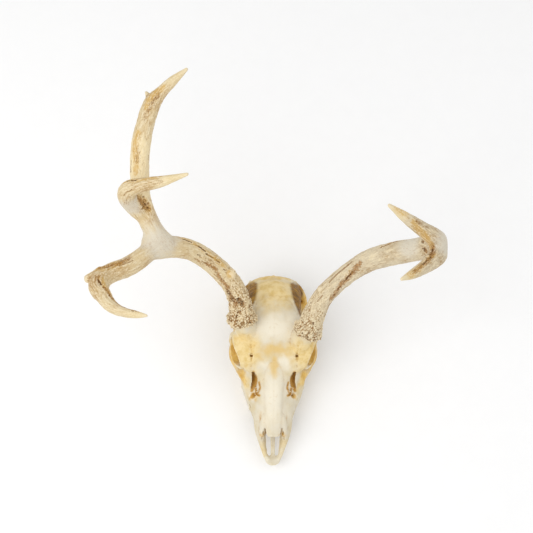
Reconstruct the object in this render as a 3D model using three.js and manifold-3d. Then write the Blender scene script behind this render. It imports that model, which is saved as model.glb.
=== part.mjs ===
// Deer skull with both antlers and no lower jaw, lying on its cheek teeth and on the two
// processes beside the neck joint. Millimetres, +Z up, nose towards -Y.
// While the bones are made, a place is [across, back, up]: across from the midline, back from
// the nose tip and up from the surface that the skull lies on. The last lines centre the part.
import * as THREE from "three";
import { mergeVertices } from "three/addons/utils/BufferGeometryUtils.js";
import Module from "manifold-3d";

const wasm = await Module();
wasm.setup();

// ---- driving dimensions ----
const ground = 0; // height of the surface under the skull
const skullBack = 250; // nose tip to the crest at the back of the head
const crestUp = 79; // height of that crest
const browUp = 112; // height of the forehead
const archHalfWidth = 60; // half the skull's greatest width, at the cheek bones
const archUp = 50; // height of the cheek arch
const eyeSocket = { across: 50, back: 145, up: 75.5, deep: 29, long: 19.5, tall: 18.5, turn: 8 };
const gumUp = 15; // height where the teeth leave the jaw
const rootLength = 7; // how far the teeth reach up into the jaw
const neckHole = 10.5; // radius of the hole for the spinal cord
const burrLip = 4; // how far the burr stands out round the foot of an antler
const burrThick = 0.32; // thickness of the burr as a share of its radius
const seam = 0.35; // gap between neighbouring bones
const sideSigns = [-1, 1]; // the animal's own right is at -X
const boneFinish = { color: 0xe2d2a8, roughness: 0.6, metalness: 0 };
const antlerFinish = { color: 0xd8c6a0, roughness: 0.55, metalness: 0 };

const up = new THREE.Vector3(0, 0, 1);
const backwards = new THREE.Vector3(0, 1, 0);
const mergeDistance = 1e-3; // points this near each other are one

// ---- shape helpers ----

// The geometry as a solid for joining and cutting.
function solid(geometry) {
  const bare = geometry.clone();
  bare.deleteAttribute("normal");
  bare.deleteAttribute("uv");
  const merged = mergeVertices(bare, mergeDistance);
  const triangles = new Uint32Array(merged.index.array);
  const build = () =>
    new wasm.Manifold(
      new wasm.Mesh({
        numProp: 3,
        vertProperties: new Float32Array(merged.attributes.position.array),
        triVerts: triangles,
      }),
    );
  const made = build();
  if (made.volume() > 0) return made;
  triangles.reverse(); // the faces pointed inwards
  return build();
}

const join = (solids) => solids.reduce((all, s) => all.add(s));
const carve = (body, cutters) => cutters.reduce((all, s) => all.subtract(s), body);
const bothSides = (make) => sideSigns.map(make);

// A closed drum whose points are placed by a function of how far along it they are, from 0 to
// 1, and of where they are on its unit circle.
function drum(around, steps, place) {
  const wall = Array.from({ length: steps + 1 }, (_, i) => new THREE.Vector2(1, i / steps));
  const profile = [new THREE.Vector2(0, 0), ...wall, new THREE.Vector2(0, 1)];
  const geometry = new THREE.LatheGeometry(profile, around);
  const points = geometry.attributes.position;
  for (let i = 0; i < points.count; i++) {
    points.setXYZ(i, ...place(points.getY(i), points.getZ(i), points.getX(i)));
  }
  return solid(geometry);
}

// A smooth curve through rows of values, read at any place along it.
function track(places, rows) {
  const curve = new THREE.CubicInterpolant(places, rows.flat(), rows[0].length);
  return (place) => Array.from(curve.evaluate(place));
}

// A body along the skull. A station is [back, half width, top, height of the widest line,
// floor, upper fullness, lower fullness]: 2 is round, more is boxy and less is pinched.
function loft(stations, { around = 14, spacing = 16, grow = 0 } = {}) {
  const backs = stations.map((s) => s[0]);
  const at = track(backs, stations.map((s) => s.slice(1)));
  const [start, end] = [backs[0] - grow, backs.at(-1) + grow];
  const bow = (share, fullness) => Math.sign(share) * Math.abs(share) ** (2 / fullness);
  return drum(around, Math.ceil((end - start) / spacing), (along, sideways, upwards) => {
    const back = THREE.MathUtils.lerp(start, end, along);
    const [half, top, wide, floor, upper, lower] = at(back);
    const fullness = upwards > 0 ? upper : lower;
    const reach = (upwards > 0 ? top - wide : wide - floor) + grow;
    return [(half + grow) * bow(sideways, fullness), back, wide + reach * bow(upwards, fullness)];
  });
}

// A bar, horn or tine along a smooth curve. A knot is [across, back, up, radius]. tall and
// broad stretch its section along and across the direction named upright.
function limb(knots, options = {}) {
  const { around = 8, spacing = 14, tall = 1, broad = 1, grow = 0, upright = up } = options;
  const path = new THREE.CatmullRomCurve3(
    knots.map(([x, y, z]) => new THREE.Vector3(x, y, z)),
    false,
    "centripetal",
  );
  const radiusAt = track(knots.map((_, i) => i / (knots.length - 1)), knots.map((k) => [k[3]]));
  const steps = Math.max(3, Math.ceil(path.getLength() / spacing));
  const normal = upright.clone();
  const frames = Array.from({ length: steps + 1 }, (_, i) => {
    const along = path.getTangent(i / steps);
    normal.addScaledVector(along, -normal.dot(along)).normalize();
    const reach = i === 0 ? -grow : i === steps ? grow : 0;
    return {
      centre: path.getPoint(i / steps).addScaledVector(along, reach),
      normal: normal.clone(),
      beside: new THREE.Vector3().crossVectors(along, normal),
      radius: Math.max(0.6, radiusAt(i / steps)[0]) + grow,
    };
  });
  return drum(around, steps, (along, sideways, upwards) => {
    const { centre, normal: lift, beside, radius } = frames[Math.round(along * steps)];
    return centre
      .clone()
      .addScaledVector(lift, radius * tall * upwards)
      .addScaledVector(beside, radius * broad * sideways);
  });
}

// The same limb with its knots given for one side of the skull.
const sideLimb = (side, knots, options) =>
  limb(knots.map(([across, back, high, radius]) => [side * across, back, high, radius]), options);

// An ellipsoid, pitched and then turned about the vertical, in degrees.
function blob(centre, radii, { turn = 0, pitch = 0, detail = 8 } = {}) {
  const geometry = new THREE.SphereGeometry(1, detail, Math.round(detail * 0.6));
  geometry.scale(...radii);
  geometry.rotateX(THREE.MathUtils.degToRad(pitch));
  geometry.rotateZ(THREE.MathUtils.degToRad(turn));
  geometry.translate(...centre);
  return solid(geometry);
}

// A box between its lowest and highest corners.
function block(low, high) {
  const box = new THREE.Box3(new THREE.Vector3(...low), new THREE.Vector3(...high));
  const geometry = new THREE.BoxGeometry(...box.getSize(new THREE.Vector3()));
  geometry.translate(...box.getCenter(new THREE.Vector3()));
  return solid(geometry);
}

// ---- face ----

const muzzle = () =>
  loft([
    [44, 22, 41, 29, 19, 2, 2.2],
    [60, 26, 52, 32, 19, 1.9, 2.2],
    [75, 31, 61, 34, 18, 1.8, 3],
    [90, 37.5, 70, 36, 17, 1.7, 3.4],
    [105, 42, 78, 40, 17, 1.7, 3.2],
    [118, 43.5, 86, 45, 17, 1.8, 2.8],
    [132, 42.5, 94, 55, 18, 2, 2.6],
    [147, 34, 102, 70, 27, 2.2, 2],
    [162, 31, 106, 76, 34, 2.2, 2],
    [180, 31, 107, 78, 38, 2.2, 2],
  ]);

const nasalRoof = (grow = 0) =>
  loft(
    [
      [33, 8, 50, 47.5, 45.5, 2.2, 3],
      [42, 10.5, 54, 50, 48, 2.2, 3],
      [60, 11.5, 60.5, 55, 52, 2.4, 3],
      [85, 12, 71, 64, 60, 2.4, 3],
      [108, 14, 82, 72, 66, 2.4, 3],
      [124, 12, 90, 80, 74, 2.2, 3],
    ],
    { around: 12, grow },
  );

// The side bar of the nose, which climbs to the nasal bones.
const noseBar = (side) =>
  sideLimb(
    side,
    [
      [5.5, 5, 19, 4.6],
      [10.5, 15, 19.5, 5],
      [14, 28, 22, 5.3],
      [16.5, 41, 27, 5.8],
      [18.5, 54, 33, 6.2],
      [19, 66, 42, 6.5],
      [16, 76, 51, 5],
    ],
    { around: 6, spacing: 14 },
  );

// The rod beside the midline. The long slit between it and the side bar is open.
const noseRod = (side) =>
  sideLimb(
    side,
    [
      [3.6, 5, 18.5, 3.4],
      [2.2, 14, 18.5, 2.5],
      [2.1, 30, 19.5, 2.3],
      [2.2, 58, 21, 2.8],
    ],
    { around: 5, spacing: 18 },
  );

const noseTip = (side) => blob([side * 5, 6.6, 18.5], [6.2, 7, 3.2]);

// The ridge of the jaw that holds a row of cheek teeth.
const toothRidge = (side) =>
  sideLimb(
    side,
    [
      [24, 70, 23, 4],
      [26.5, 84, 21.5, 7],
      [30.5, 104, 21, 8],
      [33.5, 126, 21, 8.6],
      [33.5, 148, 22, 8.4],
      [31, 162, 25, 6],
    ],
    { around: 6, spacing: 26 },
  );

const pterygoid = (side) =>
  blob([side * 11.5, 168, 30], [2.2, 22, 13], { turn: side * 3 });

// ---- cheek teeth ----

// Front to back: length along the jaw and width across it.
const cheekTeeth = [
  [10.5, 9.5],
  [11, 11.5],
  [10.5, 13],
  [13, 15],
  [14.5, 16],
  [15, 15],
];
const toothLine = new THREE.CatmullRomCurve3([
  new THREE.Vector3(27, 79, 0),
  new THREE.Vector3(33, 120, 0),
  new THREE.Vector3(32.5, 154, 0),
]);
const toothNeck = 0.68; // width between two teeth as a share of a tooth's full width
const toothPoints = 3; // outline points on each side of a tooth

function toothRow(side) {
  const whole = cheekTeeth.reduce((sum, [long]) => sum + long, 0);
  const outer = [];
  const inner = [];
  let used = 0;
  for (const [long, wide] of cheekTeeth) {
    for (let k = 0; k < toothPoints; k++) {
      const share = (k + 0.5) / toothPoints;
      const place = (used + long * share) / whole;
      const { x, y } = toothLine.getPointAt(place);
      const along = toothLine.getTangentAt(place);
      const half = (wide / 2) * (toothNeck + (1 - toothNeck) * Math.sin(Math.PI * share));
      outer.push(new THREE.Vector2(side * (x + along.y * half), y - along.x * half));
      inner.push(new THREE.Vector2(side * (x - along.y * half), y + along.x * half));
    }
    used += long;
  }
  const outline = new THREE.Shape([...outer, ...inner.reverse()]);
  const row = new THREE.ExtrudeGeometry(outline, { depth: gumUp + rootLength, bevelEnabled: false });
  row.translate(0, 0, ground);
  return solid(row);
}

// ---- brow, cheeks and braincase ----

const brow = () =>
  loft([
    [112, 28, 81, 70, 56, 2, 2],
    [122, 42, 87.5, 76, 62, 1.9, 2],
    [132, 48, 94, 84, 74, 2, 2],
    [144, 50.5, 102, 91, 82, 2, 2],
    [154, 56, browUp - 5, 93, 83, 1.9, 2],
    [162, 55, browUp - 2, 94, 80, 1.9, 2],
    [172, 45, browUp, 94, 76, 2.1, 2],
    [186, 38, browUp + 1, 90, 70, 2.2, 2],
    [200, 36, browUp, 88, 66, 2.2, 2],
  ]);

const braincaseBody = () =>
  loft([
    [158, 24, 104, 76, 44, 2.2, 2],
    [176, 33, browUp - 2, 78, 38, 2.2, 2],
    [195, 37.5, browUp, 76, 34, 2.2, 2.2],
    [212, 39, 108.5, 72, 32, 2.2, 2.4],
    [228, 38.5, 101, 66, 31, 2.1, 2.6],
    [skullBack - 11, 35, 90, 60, 31, 2, 2.6],
    [skullBack - 4, 31, 80, 56, 32, 2, 2.4],
    [skullBack, 25, 72, 54, 36, 2, 2.2],
  ]);

// The crest across the back of the head, and down both sides to the ears.
function neckCrest() {
  const half = [
    [45, skullBack - 33, crestUp - 27, 3],
    [41, skullBack - 21, crestUp - 19, 3.5],
    [32, skullBack - 11, crestUp - 10, 3.5],
    [18, skullBack - 5, crestUp - 3, 3.5],
  ];
  const left = half.map(([across, back, high, radius]) => [-across, back, high, radius]);
  return limb([...left, [0, skullBack - 4, crestUp, 4], ...half.reverse()], { around: 6, spacing: 14 });
}

const cheekArch = (side) =>
  sideLimb(
    side,
    [
      [34, 100, archUp - 8, 5],
      [40, 114, archUp - 4, 7],
      [47.5, 128, archUp - 1.5, 8.5],
      [archHalfWidth - 5, 142, archUp, 8],
      [archHalfWidth - 4, 156, archUp, 7.2],
      [archHalfWidth - 7.5, 171, archUp, 6.4],
      [50.5, 188, archUp - 1, 5.2],
      [48, 203, archUp - 1, 5],
      [40, 215, archUp - 1, 5],
    ],
    { around: 7, spacing: 15, broad: 0.56 },
  );

// The shelf of the cheek bone under the eye.
const eyeShelf = (side) =>
  sideLimb(
    side,
    [
      [36, 112, archUp, 5],
      [45, 126, archUp + 2, 6.5],
      [49, 142, archUp + 3.5, 7],
      [51, 160, archUp + 4, 5],
    ],
    { around: 6, spacing: 14, tall: 0.45 },
  );

// The bar behind the eye, from the brow down to the cheek arch.
const eyeBar = (side) =>
  sideLimb(
    side,
    [
      [49, 160, 96, 7],
      [52.5, 165, 84, 6],
      [55.5, 167, 68, 5.5],
      [55, 166, archUp + 1, 7],
    ],
    { around: 7, broad: 0.75, upright: backwards },
  );

// The stub of bone on the brow that an antler grows from.
const rightPedicle = [
  [-33, 163, 88, 17],
  [-38, 169, 105, 14.5],
  [-43, 176, 120, 13.5],
];
const leftPedicle = [
  [31, 151, 88, 17],
  [36, 156, 104, 14.5],
  [42, 162, 118, 13.5],
];

const archRoot = (side) => blob([side * 38, 212, 49], [15, 9, 6.5], { turn: side * -12 });

const earRegion = (side) =>
  join([
    blob([side * 21, 224, 31], [8, 13, 11]),
    blob([side * 37, 238, 48], [7, 9, 15], { pitch: -14 }),
    sideLimb(side, [[22, 222, 38, 6], [34, 224, 43, 5], [43, 225, 47, 5]], { around: 6, spacing: 14 }),
  ]);

// The process beside the neck joint, one of the feet that the skull lies on.
const neckProcess = (side) =>
  sideLimb(
    side,
    [
      [30, 247, 46, 8],
      [30, 245, 28, 7],
      [28.5, 242, 12, 5],
      [27, 239, ground - 3, 4],
    ],
    { around: 7, spacing: 13, broad: 0.6, upright: backwards },
  );

const neckJoint = (side) =>
  blob([side * 14.5, skullBack + 2.5, 43], [9.5, 10, 13], { pitch: 20, turn: side * -20 });

const skullBase = () =>
  limb(
    [
      [0, skullBack + 4, 35, 10],
      [0, 240, 32, 10],
      [0, 215, 35, 9],
      [0, 190, 39, 9],
      [0, 165, 44, 9],
    ],
    { spacing: 20, tall: 0.65 },
  );

// ---- openings of the skull ----

const nasalPassage = () =>
  loft(
    [
      [38, 15, 60, 46, 23, 3, 3],
      [48, 16.5, 47, 36, 23, 2.4, 3],
      [70, 20, 54, 38, 24, 2.2, 3],
      [100, 24, 66, 44, 26, 2.2, 2.4],
      [126, 14, 74, 52, 32, 2, 2],
    ],
    { around: 8, spacing: 18 },
  ).subtract(nasalRoof());

const palateVault = () =>
  loft(
    [
      [62, 10, 21, 16, 8, 2, 2],
      [90, 17, 24.5, 12, -4, 2, 2],
      [130, 23, 26, 10, -6, 2, 2],
      [172, 24, 27, 10, -6, 2, 2],
    ],
    { around: 8, spacing: 22 },
  );

const throatOpening = () =>
  limb(
    [
      [0, 146, 33, 7],
      [0, 165, 32, 8.6],
      [0, 190, 26, 8],
    ],
    { around: 7, spacing: 20, tall: 1.2 },
  );

const neckOpening = () =>
  limb(
    [
      [0, skullBack - 14, 52, neckHole - 2.5],
      [0, skullBack, 51, neckHole],
      [0, skullBack + 18, 49, neckHole + 2],
    ],
    { around: 9, spacing: 18 },
  );

function eyeOpening(side) {
  const { across, back, up: high, deep, long, tall, turn } = eyeSocket;
  return blob([side * across, back, high], [deep, long, tall], { turn: side * turn, detail: 11 });
}

// The slanting gap between the nasal, tear and brow bones.
const faceGap = (side) =>
  sideLimb(side, [[19, 86, 70, 2.5], [23, 98, 75, 4.6], [26, 112, 81, 2]], {
    around: 6,
    spacing: 10,
    broad: 0.7,
    tall: 2,
  });

const belowGround = () => block([-80, -20, ground - 30], [80, 300, ground]);

function wholeSkull() {
  const middleBodies = [
    muzzle(),
    nasalRoof(),
    brow(),
    braincaseBody(),
    neckCrest(),
    skullBase(),
    limb(rightPedicle),
    limb(leftPedicle),
  ];
  const sideBodies = [
    noseBar,
    noseRod,
    noseTip,
    toothRidge,
    pterygoid,
    cheekArch,
    eyeShelf,
    eyeBar,
    archRoot,
    earRegion,
    neckProcess,
    neckJoint,
  ].flatMap(bothSides);
  const openings = [
    nasalPassage(),
    palateVault(),
    throatOpening(),
    neckOpening(),
    ...bothSides(eyeOpening),
    ...bothSides(faceGap),
    belowGround(),
  ];
  return join([carve(join([...middleBodies, ...sideBodies]), openings), ...bothSides(toothRow)]);
}

// ---- antlers ----
// Each knot is [across, back, up, radius].

const rightBeam = [
  [-43, 176, 120, 17],
  [-44, 183, 127, 16.5],
  [-47, 199, 139, 14.8],
  [-58, 217, 155, 13.8],
  [-76, 232, 172, 13.3],
  [-94, 241, 190, 12.9],
  [-111, 244, 208, 13],
  [-130, 242, 224, 14],
  [-151, 236, 238, 15.5],
];
const rightRear = [
  [-140, 242, 234, 14],
  [-152, 254, 246, 13],
  [-162, 273, 256, 12.2],
  [-168, 290, 262, 12],
  [-170, 312, 268, 11.7],
  [-170, 336, 276, 11.8],
  [-168, 358, 285, 11.8],
  [-162, 380, 296, 11],
  [-154, 399, 307, 10.4],
  [-142, 411, 315, 7.4],
  [-130, 420, 323, 6.2],
  [-112, 432, 333, 2],
];
const rightSpur = [
  [-154, 399, 305, 6],
  [-159, 407, 308, 4],
  [-162, 411, 309, 2],
];
const rightSide = [
  [-162, 268, 254, 9],
  [-175, 279, 270, 12.4],
  [-183, 285, 288, 12.2],
  [-179, 288, 303, 10.8],
  [-165, 289, 313, 8.8],
  [-141, 290, 323, 6.8],
  [-109, 295, 335, 2],
];
const rightFront = [
  [-151, 239, 238, 12],
  [-166, 221, 246, 12.3],
  [-183, 206, 254, 12.2],
  [-201, 196, 262, 12],
  [-212, 186, 269, 12.6],
  [-214, 173, 277, 12],
  [-207, 160, 286, 9.7],
  [-197, 145, 297, 7.7],
  [-183, 135, 308, 5.9],
  [-167, 129, 318, 4.6],
  [-153, 125, 327, 1.8],
];
const rightKnob = [
  [-213, 192, 268, 7],
  [-223, 187, 270, 6.5],
  [-232, 184, 272, 4],
];
const leftBeam = [
  [43, 162, 118, 17.5],
  [46, 168, 125, 17],
  [51, 181, 137, 15.2],
  [59, 195, 153, 13.4],
  [73, 208, 170, 12.7],
  [93, 221, 188, 12.8],
  [117, 231, 208, 13.9],
  [147, 234, 228, 14.7],
  [170, 234, 243, 14.5],
  [187, 233, 258, 14.5],
];
const leftRear = [
  [187, 233, 260, 12.5],
  [192, 234, 273, 13],
  [186, 236, 285, 11.6],
  [171, 241, 298, 9],
  [150, 248, 317, 6.8],
  [126, 257, 338, 2.2],
];
const leftFront = [
  [187, 231, 259, 12.5],
  [192, 220, 271, 12.5],
  [186, 209, 283, 11],
  [172, 195, 296, 8.2],
  [155, 182, 308, 5.8],
  [140, 172, 320, 2],
];

const horn = (knots, grow = 0) => limb(knots, { spacing: 17, grow });

// A branch without what lies in its neighbours, which it clears by a seam.
const branch = (knots, ...neighbours) =>
  carve(horn(knots), neighbours.flatMap((n) => [horn(n), horn(n, seam)]));

// The rough ring round the foot of an antler.
function burr([[x, y, z, radius], next], grow = 0) {
  const foot = new THREE.Vector3(x, y, z);
  const ring = new THREE.SphereGeometry(radius + burrLip + grow, 12, 5);
  ring.scale(1, 1, burrThick);
  const grown = new THREE.Vector3(...next.slice(0, 3)).sub(foot).normalize();
  ring.applyQuaternion(new THREE.Quaternion().setFromUnitVectors(up, grown));
  ring.translate(...foot);
  return solid(ring);
}

const antlers = () => ({
  right_antler_beam: horn(rightBeam).add(burr(rightBeam)),
  right_antler_rear_branch: branch(rightRear, rightBeam).add(horn(rightSpur)),
  right_antler_side_tine: branch(rightSide, rightRear, rightBeam),
  right_antler_front_branch: branch(rightFront, rightBeam, rightRear).add(horn(rightKnob)),
  left_antler_beam: horn(leftBeam).add(burr(leftBeam)),
  left_antler_rear_tine: branch(leftRear, leftBeam),
  left_antler_front_tine: branch(leftFront, leftBeam, leftRear),
});

// The space that the foot of each antler takes, with a seam round it.
const antlerFeet = () =>
  [rightBeam, leftBeam].flatMap((knots) => [burr(knots, seam), horn(knots, seam)]);

// ---- the skull parted into its bones ----

const browRegion = { low: [-90, 109, 73], high: [90, 206, 170] };
const rightArchRegion = { low: [-90, 124, 38], high: [-44.5, 192, 73 - seam] };
const leftArchRegion = { low: [44.5, 124, 38], high: [90, 192, 73 - seam] };
const jawEnd = { at: [0, 178, 60], facing: [0, 1, 0.15] }; // between jaw and braincase
const noseEnd = { at: [0, 60, 34], facing: [0, 1, -0.6] }; // between nose and jaw

const inside = ({ low, high }) => block(low, high);
const cleared = ({ low, high }) => block(low.map((v) => v - seam), high.map((v) => v + seam));

// The parts of a body in front of and behind a plane, a seam apart.
function part(body, { at, facing }) {
  const reach = 900;
  return bothSides((sign) => {
    const geometry = new THREE.BoxGeometry(reach, reach, reach);
    geometry.translate(0, 0, (reach + seam) / 2);
    const turned = new THREE.Vector3(...facing).normalize().multiplyScalar(sign);
    geometry.applyQuaternion(new THREE.Quaternion().setFromUnitVectors(up, turned));
    geometry.translate(...at);
    return body.intersect(solid(geometry));
  });
}

function skullBones() {
  const whole = wholeSkull();
  const rest = carve(whole, [
    cleared(browRegion),
    cleared(rightArchRegion),
    cleared(leftArchRegion),
    nasalRoof(seam),
  ]);
  const [face, braincase] = part(rest, jawEnd);
  const [noseBone, upperJaw] = part(face, noseEnd);
  return {
    premaxilla: noseBone,
    upper_jaw: upperJaw,
    nasal_bones: nasalRoof().subtract(cleared(browRegion)),
    forehead: carve(whole.intersect(inside(browRegion)), antlerFeet()),
    braincase,
    right_cheek_arch: whole.intersect(inside(rightArchRegion)),
    left_cheek_arch: whole.intersect(inside(leftArchRegion)),
  };
}

// ---- the finished part ----

function named(name, body, finish) {
  const { vertProperties, triVerts } = body.getMesh();
  const geometry = new THREE.BufferGeometry();
  geometry.setAttribute("position", new THREE.BufferAttribute(new Float32Array(vertProperties), 3));
  geometry.setIndex(new THREE.BufferAttribute(new Uint32Array(triVerts), 1));
  geometry.computeVertexNormals();
  const mesh = new THREE.Mesh(geometry, new THREE.MeshStandardMaterial(finish));
  mesh.name = name;
  return mesh;
}

const deerSkull = new THREE.Group();
for (const [name, body] of Object.entries(skullBones())) deerSkull.add(named(name, body, boneFinish));
for (const [name, body] of Object.entries(antlers())) deerSkull.add(named(name, body, antlerFinish));

const extent = new THREE.Box3().setFromObject(deerSkull);
const middle = extent.getCenter(new THREE.Vector3());
deerSkull.position.set(-middle.x, -middle.y, -extent.min.z);

export default deerSkull;
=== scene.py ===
import math

import bmesh
import bpy
import numpy as np
from mathutils import Matrix, Vector, kdtree, noise


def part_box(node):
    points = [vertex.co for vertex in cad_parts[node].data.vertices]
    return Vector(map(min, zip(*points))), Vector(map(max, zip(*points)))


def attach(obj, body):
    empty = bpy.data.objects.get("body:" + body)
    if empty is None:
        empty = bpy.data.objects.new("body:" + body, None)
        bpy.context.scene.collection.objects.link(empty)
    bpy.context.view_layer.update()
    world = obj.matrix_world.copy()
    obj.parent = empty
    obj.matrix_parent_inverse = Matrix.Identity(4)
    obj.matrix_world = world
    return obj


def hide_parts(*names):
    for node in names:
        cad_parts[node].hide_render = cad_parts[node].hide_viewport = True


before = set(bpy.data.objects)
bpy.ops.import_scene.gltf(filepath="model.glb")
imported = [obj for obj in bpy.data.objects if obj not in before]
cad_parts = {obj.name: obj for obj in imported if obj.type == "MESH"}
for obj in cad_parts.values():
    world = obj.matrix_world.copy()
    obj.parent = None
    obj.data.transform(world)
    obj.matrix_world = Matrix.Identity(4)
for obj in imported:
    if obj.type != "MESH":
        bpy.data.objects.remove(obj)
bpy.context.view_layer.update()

# Everything is modelled in millimetres: x across from the midline with the animal's own left at +x,
# y back from the nose tip, z up from the surface it lies on. toFrame takes that to the frame.
layout = {"nasalTipBack": 33.0, "millimetre": 0.001}
nasalLow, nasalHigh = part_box("nasal_bones")
noseTip = Vector((
    (nasalLow.x + nasalHigh.x) / 2,
    nasalLow.y - layout["nasalTipBack"] * layout["millimetre"],
    0,
))
toFrame = Matrix.Translation(noseTip) @ Matrix.Scale(layout["millimetre"], 4)
bothSides = (-1, 1)


# camera, light and floor

view = {
    "at": (-57.2, -252.0, 1711.3),
    "target": (-9.7, 259.2, 90.0),
    "roll": 5.38,
    "lens": 85,
    "sensor": 36,
}
light = {
    "sky": (1.0, 1.0, 1.0),
    "skyStrength": 0.74,
    "keyAt": (-800, -300, 1400),
    "keySize": 1.5,
    "keyPower": 10,
    "fillAt": (900, 100, 1300),
    "fillSize": 1.6,
    "fillPower": 2.5,
    "floorSize": 30,
    "floorTones": ((254, 254, 254), (251, 251, 251)),
}


def placeCamera():
    at, target = toFrame @ Vector(view["at"]), toFrame @ Vector(view["target"])
    forward = (target - at).normalized()
    right = forward.cross(Vector((0, 0, 1))).normalized()
    above = right.cross(forward)
    turn = math.radians(view["roll"])
    across = right * math.cos(turn) + above * math.sin(turn)
    upwards = above * math.cos(turn) - right * math.sin(turn)
    camera = bpy.data.objects.new("camera", bpy.data.cameras.new("camera"))
    camera.data.lens = view["lens"]
    camera.data.sensor_width = view["sensor"]
    camera.matrix_world = Matrix.Translation(at) @ Matrix((across, upwards, -forward)).transposed().to_4x4()
    bpy.context.scene.collection.objects.link(camera)
    bpy.context.scene.camera = camera


def placeLamp(name, at, size, power):
    lamp = bpy.data.lights.new(name, "AREA")
    lamp.shape = "DISK"
    lamp.size = size
    lamp.energy = power
    stand = bpy.data.objects.new(name, lamp)
    stand.location = toFrame @ Vector(at)
    aim = toFrame @ Vector(view["target"]) - stand.location
    stand.rotation_euler = aim.to_track_quat("-Z", "Y").to_euler()
    bpy.context.scene.collection.objects.link(stand)


def lightStudio():
    world = bpy.data.worlds.new("studio")
    world.use_nodes = True
    background = world.node_tree.nodes["Background"]
    background.inputs["Color"].default_value = (*light["sky"], 1)
    background.inputs["Strength"].default_value = light["skyStrength"]
    bpy.context.scene.world = world
    bpy.context.scene.view_settings.view_transform = "Standard"
    placeLamp("key lamp", light["keyAt"], light["keySize"], light["keyPower"])
    placeLamp("fill lamp", light["fillAt"], light["fillSize"], light["fillPower"])


# shader building

def fromSrgb(red, green, blue):
    channel = lambda c: ((c / 255 + 0.055) / 1.055) ** 2.4 if c > 10 else c / 255 / 12.92
    return (channel(red), channel(green), channel(blue), 1.0)


class Value:
    # a socket that Python's operators add Math nodes to
    def __init__(self, finish, socket):
        self.finish = finish
        self.socket = socket

    def math(self, operation, first, second=0.0, clamp=False):
        settings = {"operation": operation, "use_clamp": clamp}
        return self.finish.node("ShaderNodeMath", settings, {0: first, 1: second})

    def __add__(self, other):
        return self.math("ADD", self, other)

    def __sub__(self, other):
        return self.math("SUBTRACT", self, other)

    def __rsub__(self, other):
        return self.math("SUBTRACT", other, self)

    def __mul__(self, other):
        return self.math("MULTIPLY", self, other)

    def __pow__(self, other):
        return self.math("POWER", self, other)

    __radd__ = __add__
    __rmul__ = __mul__

    def clipped(self):
        return self.math("ADD", self, 0.0, clamp=True)


class Finish:
    # a material with one principled shader
    def __init__(self, name, **constants):
        self.material = bpy.data.materials.new(name)
        self.material.use_nodes = True
        self.tree = self.material.node_tree
        self.shader = self.tree.nodes["Principled BSDF"]
        for socket, value in constants.items():
            self.shader.inputs[socket.replace("_", " ")].default_value = value

    def plug(self, socket, value):
        if isinstance(value, Value):
            self.tree.links.new(value.socket, socket)
        else:
            socket.default_value = value

    def node(self, kind, settings, sockets, output=0):
        made = self.tree.nodes.new(kind)
        for name, value in settings.items():
            setattr(made, name, value)
        for key, value in sockets.items():
            self.plug(made.inputs[key], value)
        return Value(self, made.outputs[output])

    def attribute(self, name, output="Fac"):
        return self.node("ShaderNodeAttribute", {"attribute_name": name}, {}, output)

    def place(self):
        return self.node("ShaderNodeTexCoord", {}, {}, "Object")

    def speckle(self, where, scale, detail=3.0, roughness=0.55):
        sockets = {"Vector": where, "Scale": scale, "Detail": detail, "Roughness": roughness}
        return self.node("ShaderNodeTexNoise", {}, sockets)

    def stretched(self, where, scale):
        settings = {"operation": "MULTIPLY"}
        return self.node("ShaderNodeVectorMath", settings, {0: where, 1: scale})

    def ranged(self, value, low, high, bottom=0.0, top=1.0):
        settings = {"interpolation_type": "SMOOTHSTEP"}
        return self.node("ShaderNodeMapRange", settings, {0: value, 1: low, 2: high, 3: bottom, 4: top})

    def blend(self, under, over, amount, how="MIX"):
        settings = {"data_type": "RGBA", "blend_type": how}
        return self.node("ShaderNodeMix", settings, {0: amount, 6: under, 7: over}, 2)

    def bump(self, height, distance, strength=1.0):
        sockets = {"Height": height, "Distance": distance, "Strength": strength}
        bumped = self.node("ShaderNodeBump", {}, sockets)
        self.plug(self.shader.inputs["Normal"], bumped)

    def cover(self, colour, roughness):
        self.plug(self.shader.inputs["Base Color"], colour)
        self.plug(self.shader.inputs["Roughness"], roughness)


def floorFinish():
    finish = Finish("pale floor", Specular_IOR_Level=0.2)
    grain = finish.speckle(finish.place(), 40.0)
    first, second = (fromSrgb(*colour) for colour in light["floorTones"])
    colour = finish.blend(first, second, grain)
    finish.cover(colour, finish.ranged(grain, 0.3, 0.7, 0.75, 0.85))
    return finish.material


def layFloor():
    bm = bmesh.new()
    bmesh.ops.create_grid(bm, x_segments=8, y_segments=8, size=light["floorSize"] / 2)
    floor = addPiece("floor", bm)
    floor.data.materials.append(floorFinish())


# modelling helpers

def addPiece(name, bm):
    mesh = bpy.data.meshes.new(name)
    bm.to_mesh(mesh)
    bm.free()
    piece = bpy.data.objects.new(name, mesh)
    bpy.context.scene.collection.objects.link(piece)
    return piece


def applyModifiers(piece):
    shown = piece.evaluated_get(bpy.context.evaluated_depsgraph_get())
    old = piece.data
    new = bpy.data.meshes.new_from_object(shown)
    piece.modifiers.clear()
    piece.data = new
    bpy.data.meshes.remove(old)


def fuse(piece, voxel, easing=0):
    # turns overlapping closed shapes into one skin, then eases its creases
    remesh = piece.modifiers.new("fuse", "REMESH")
    remesh.mode = "VOXEL"
    remesh.voxel_size = voxel
    if easing:
        ease = piece.modifiers.new("ease", "SMOOTH")
        ease.factor = 0.5
        ease.iterations = easing
    applyModifiers(piece)


def countTriangles(piece):
    return sum(len(face.vertices) - 2 for face in piece.data.polygons)


def thinOut(piece, most):
    # merges the flattest faces until a piece has few enough triangles
    before = countTriangles(piece)
    if before > most:
        fewer = piece.modifiers.new("fewer", "DECIMATE")
        fewer.ratio = most / before
        applyModifiers(piece)
    print(piece.name, "had", before, "triangles, now", countTriangles(piece))


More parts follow.
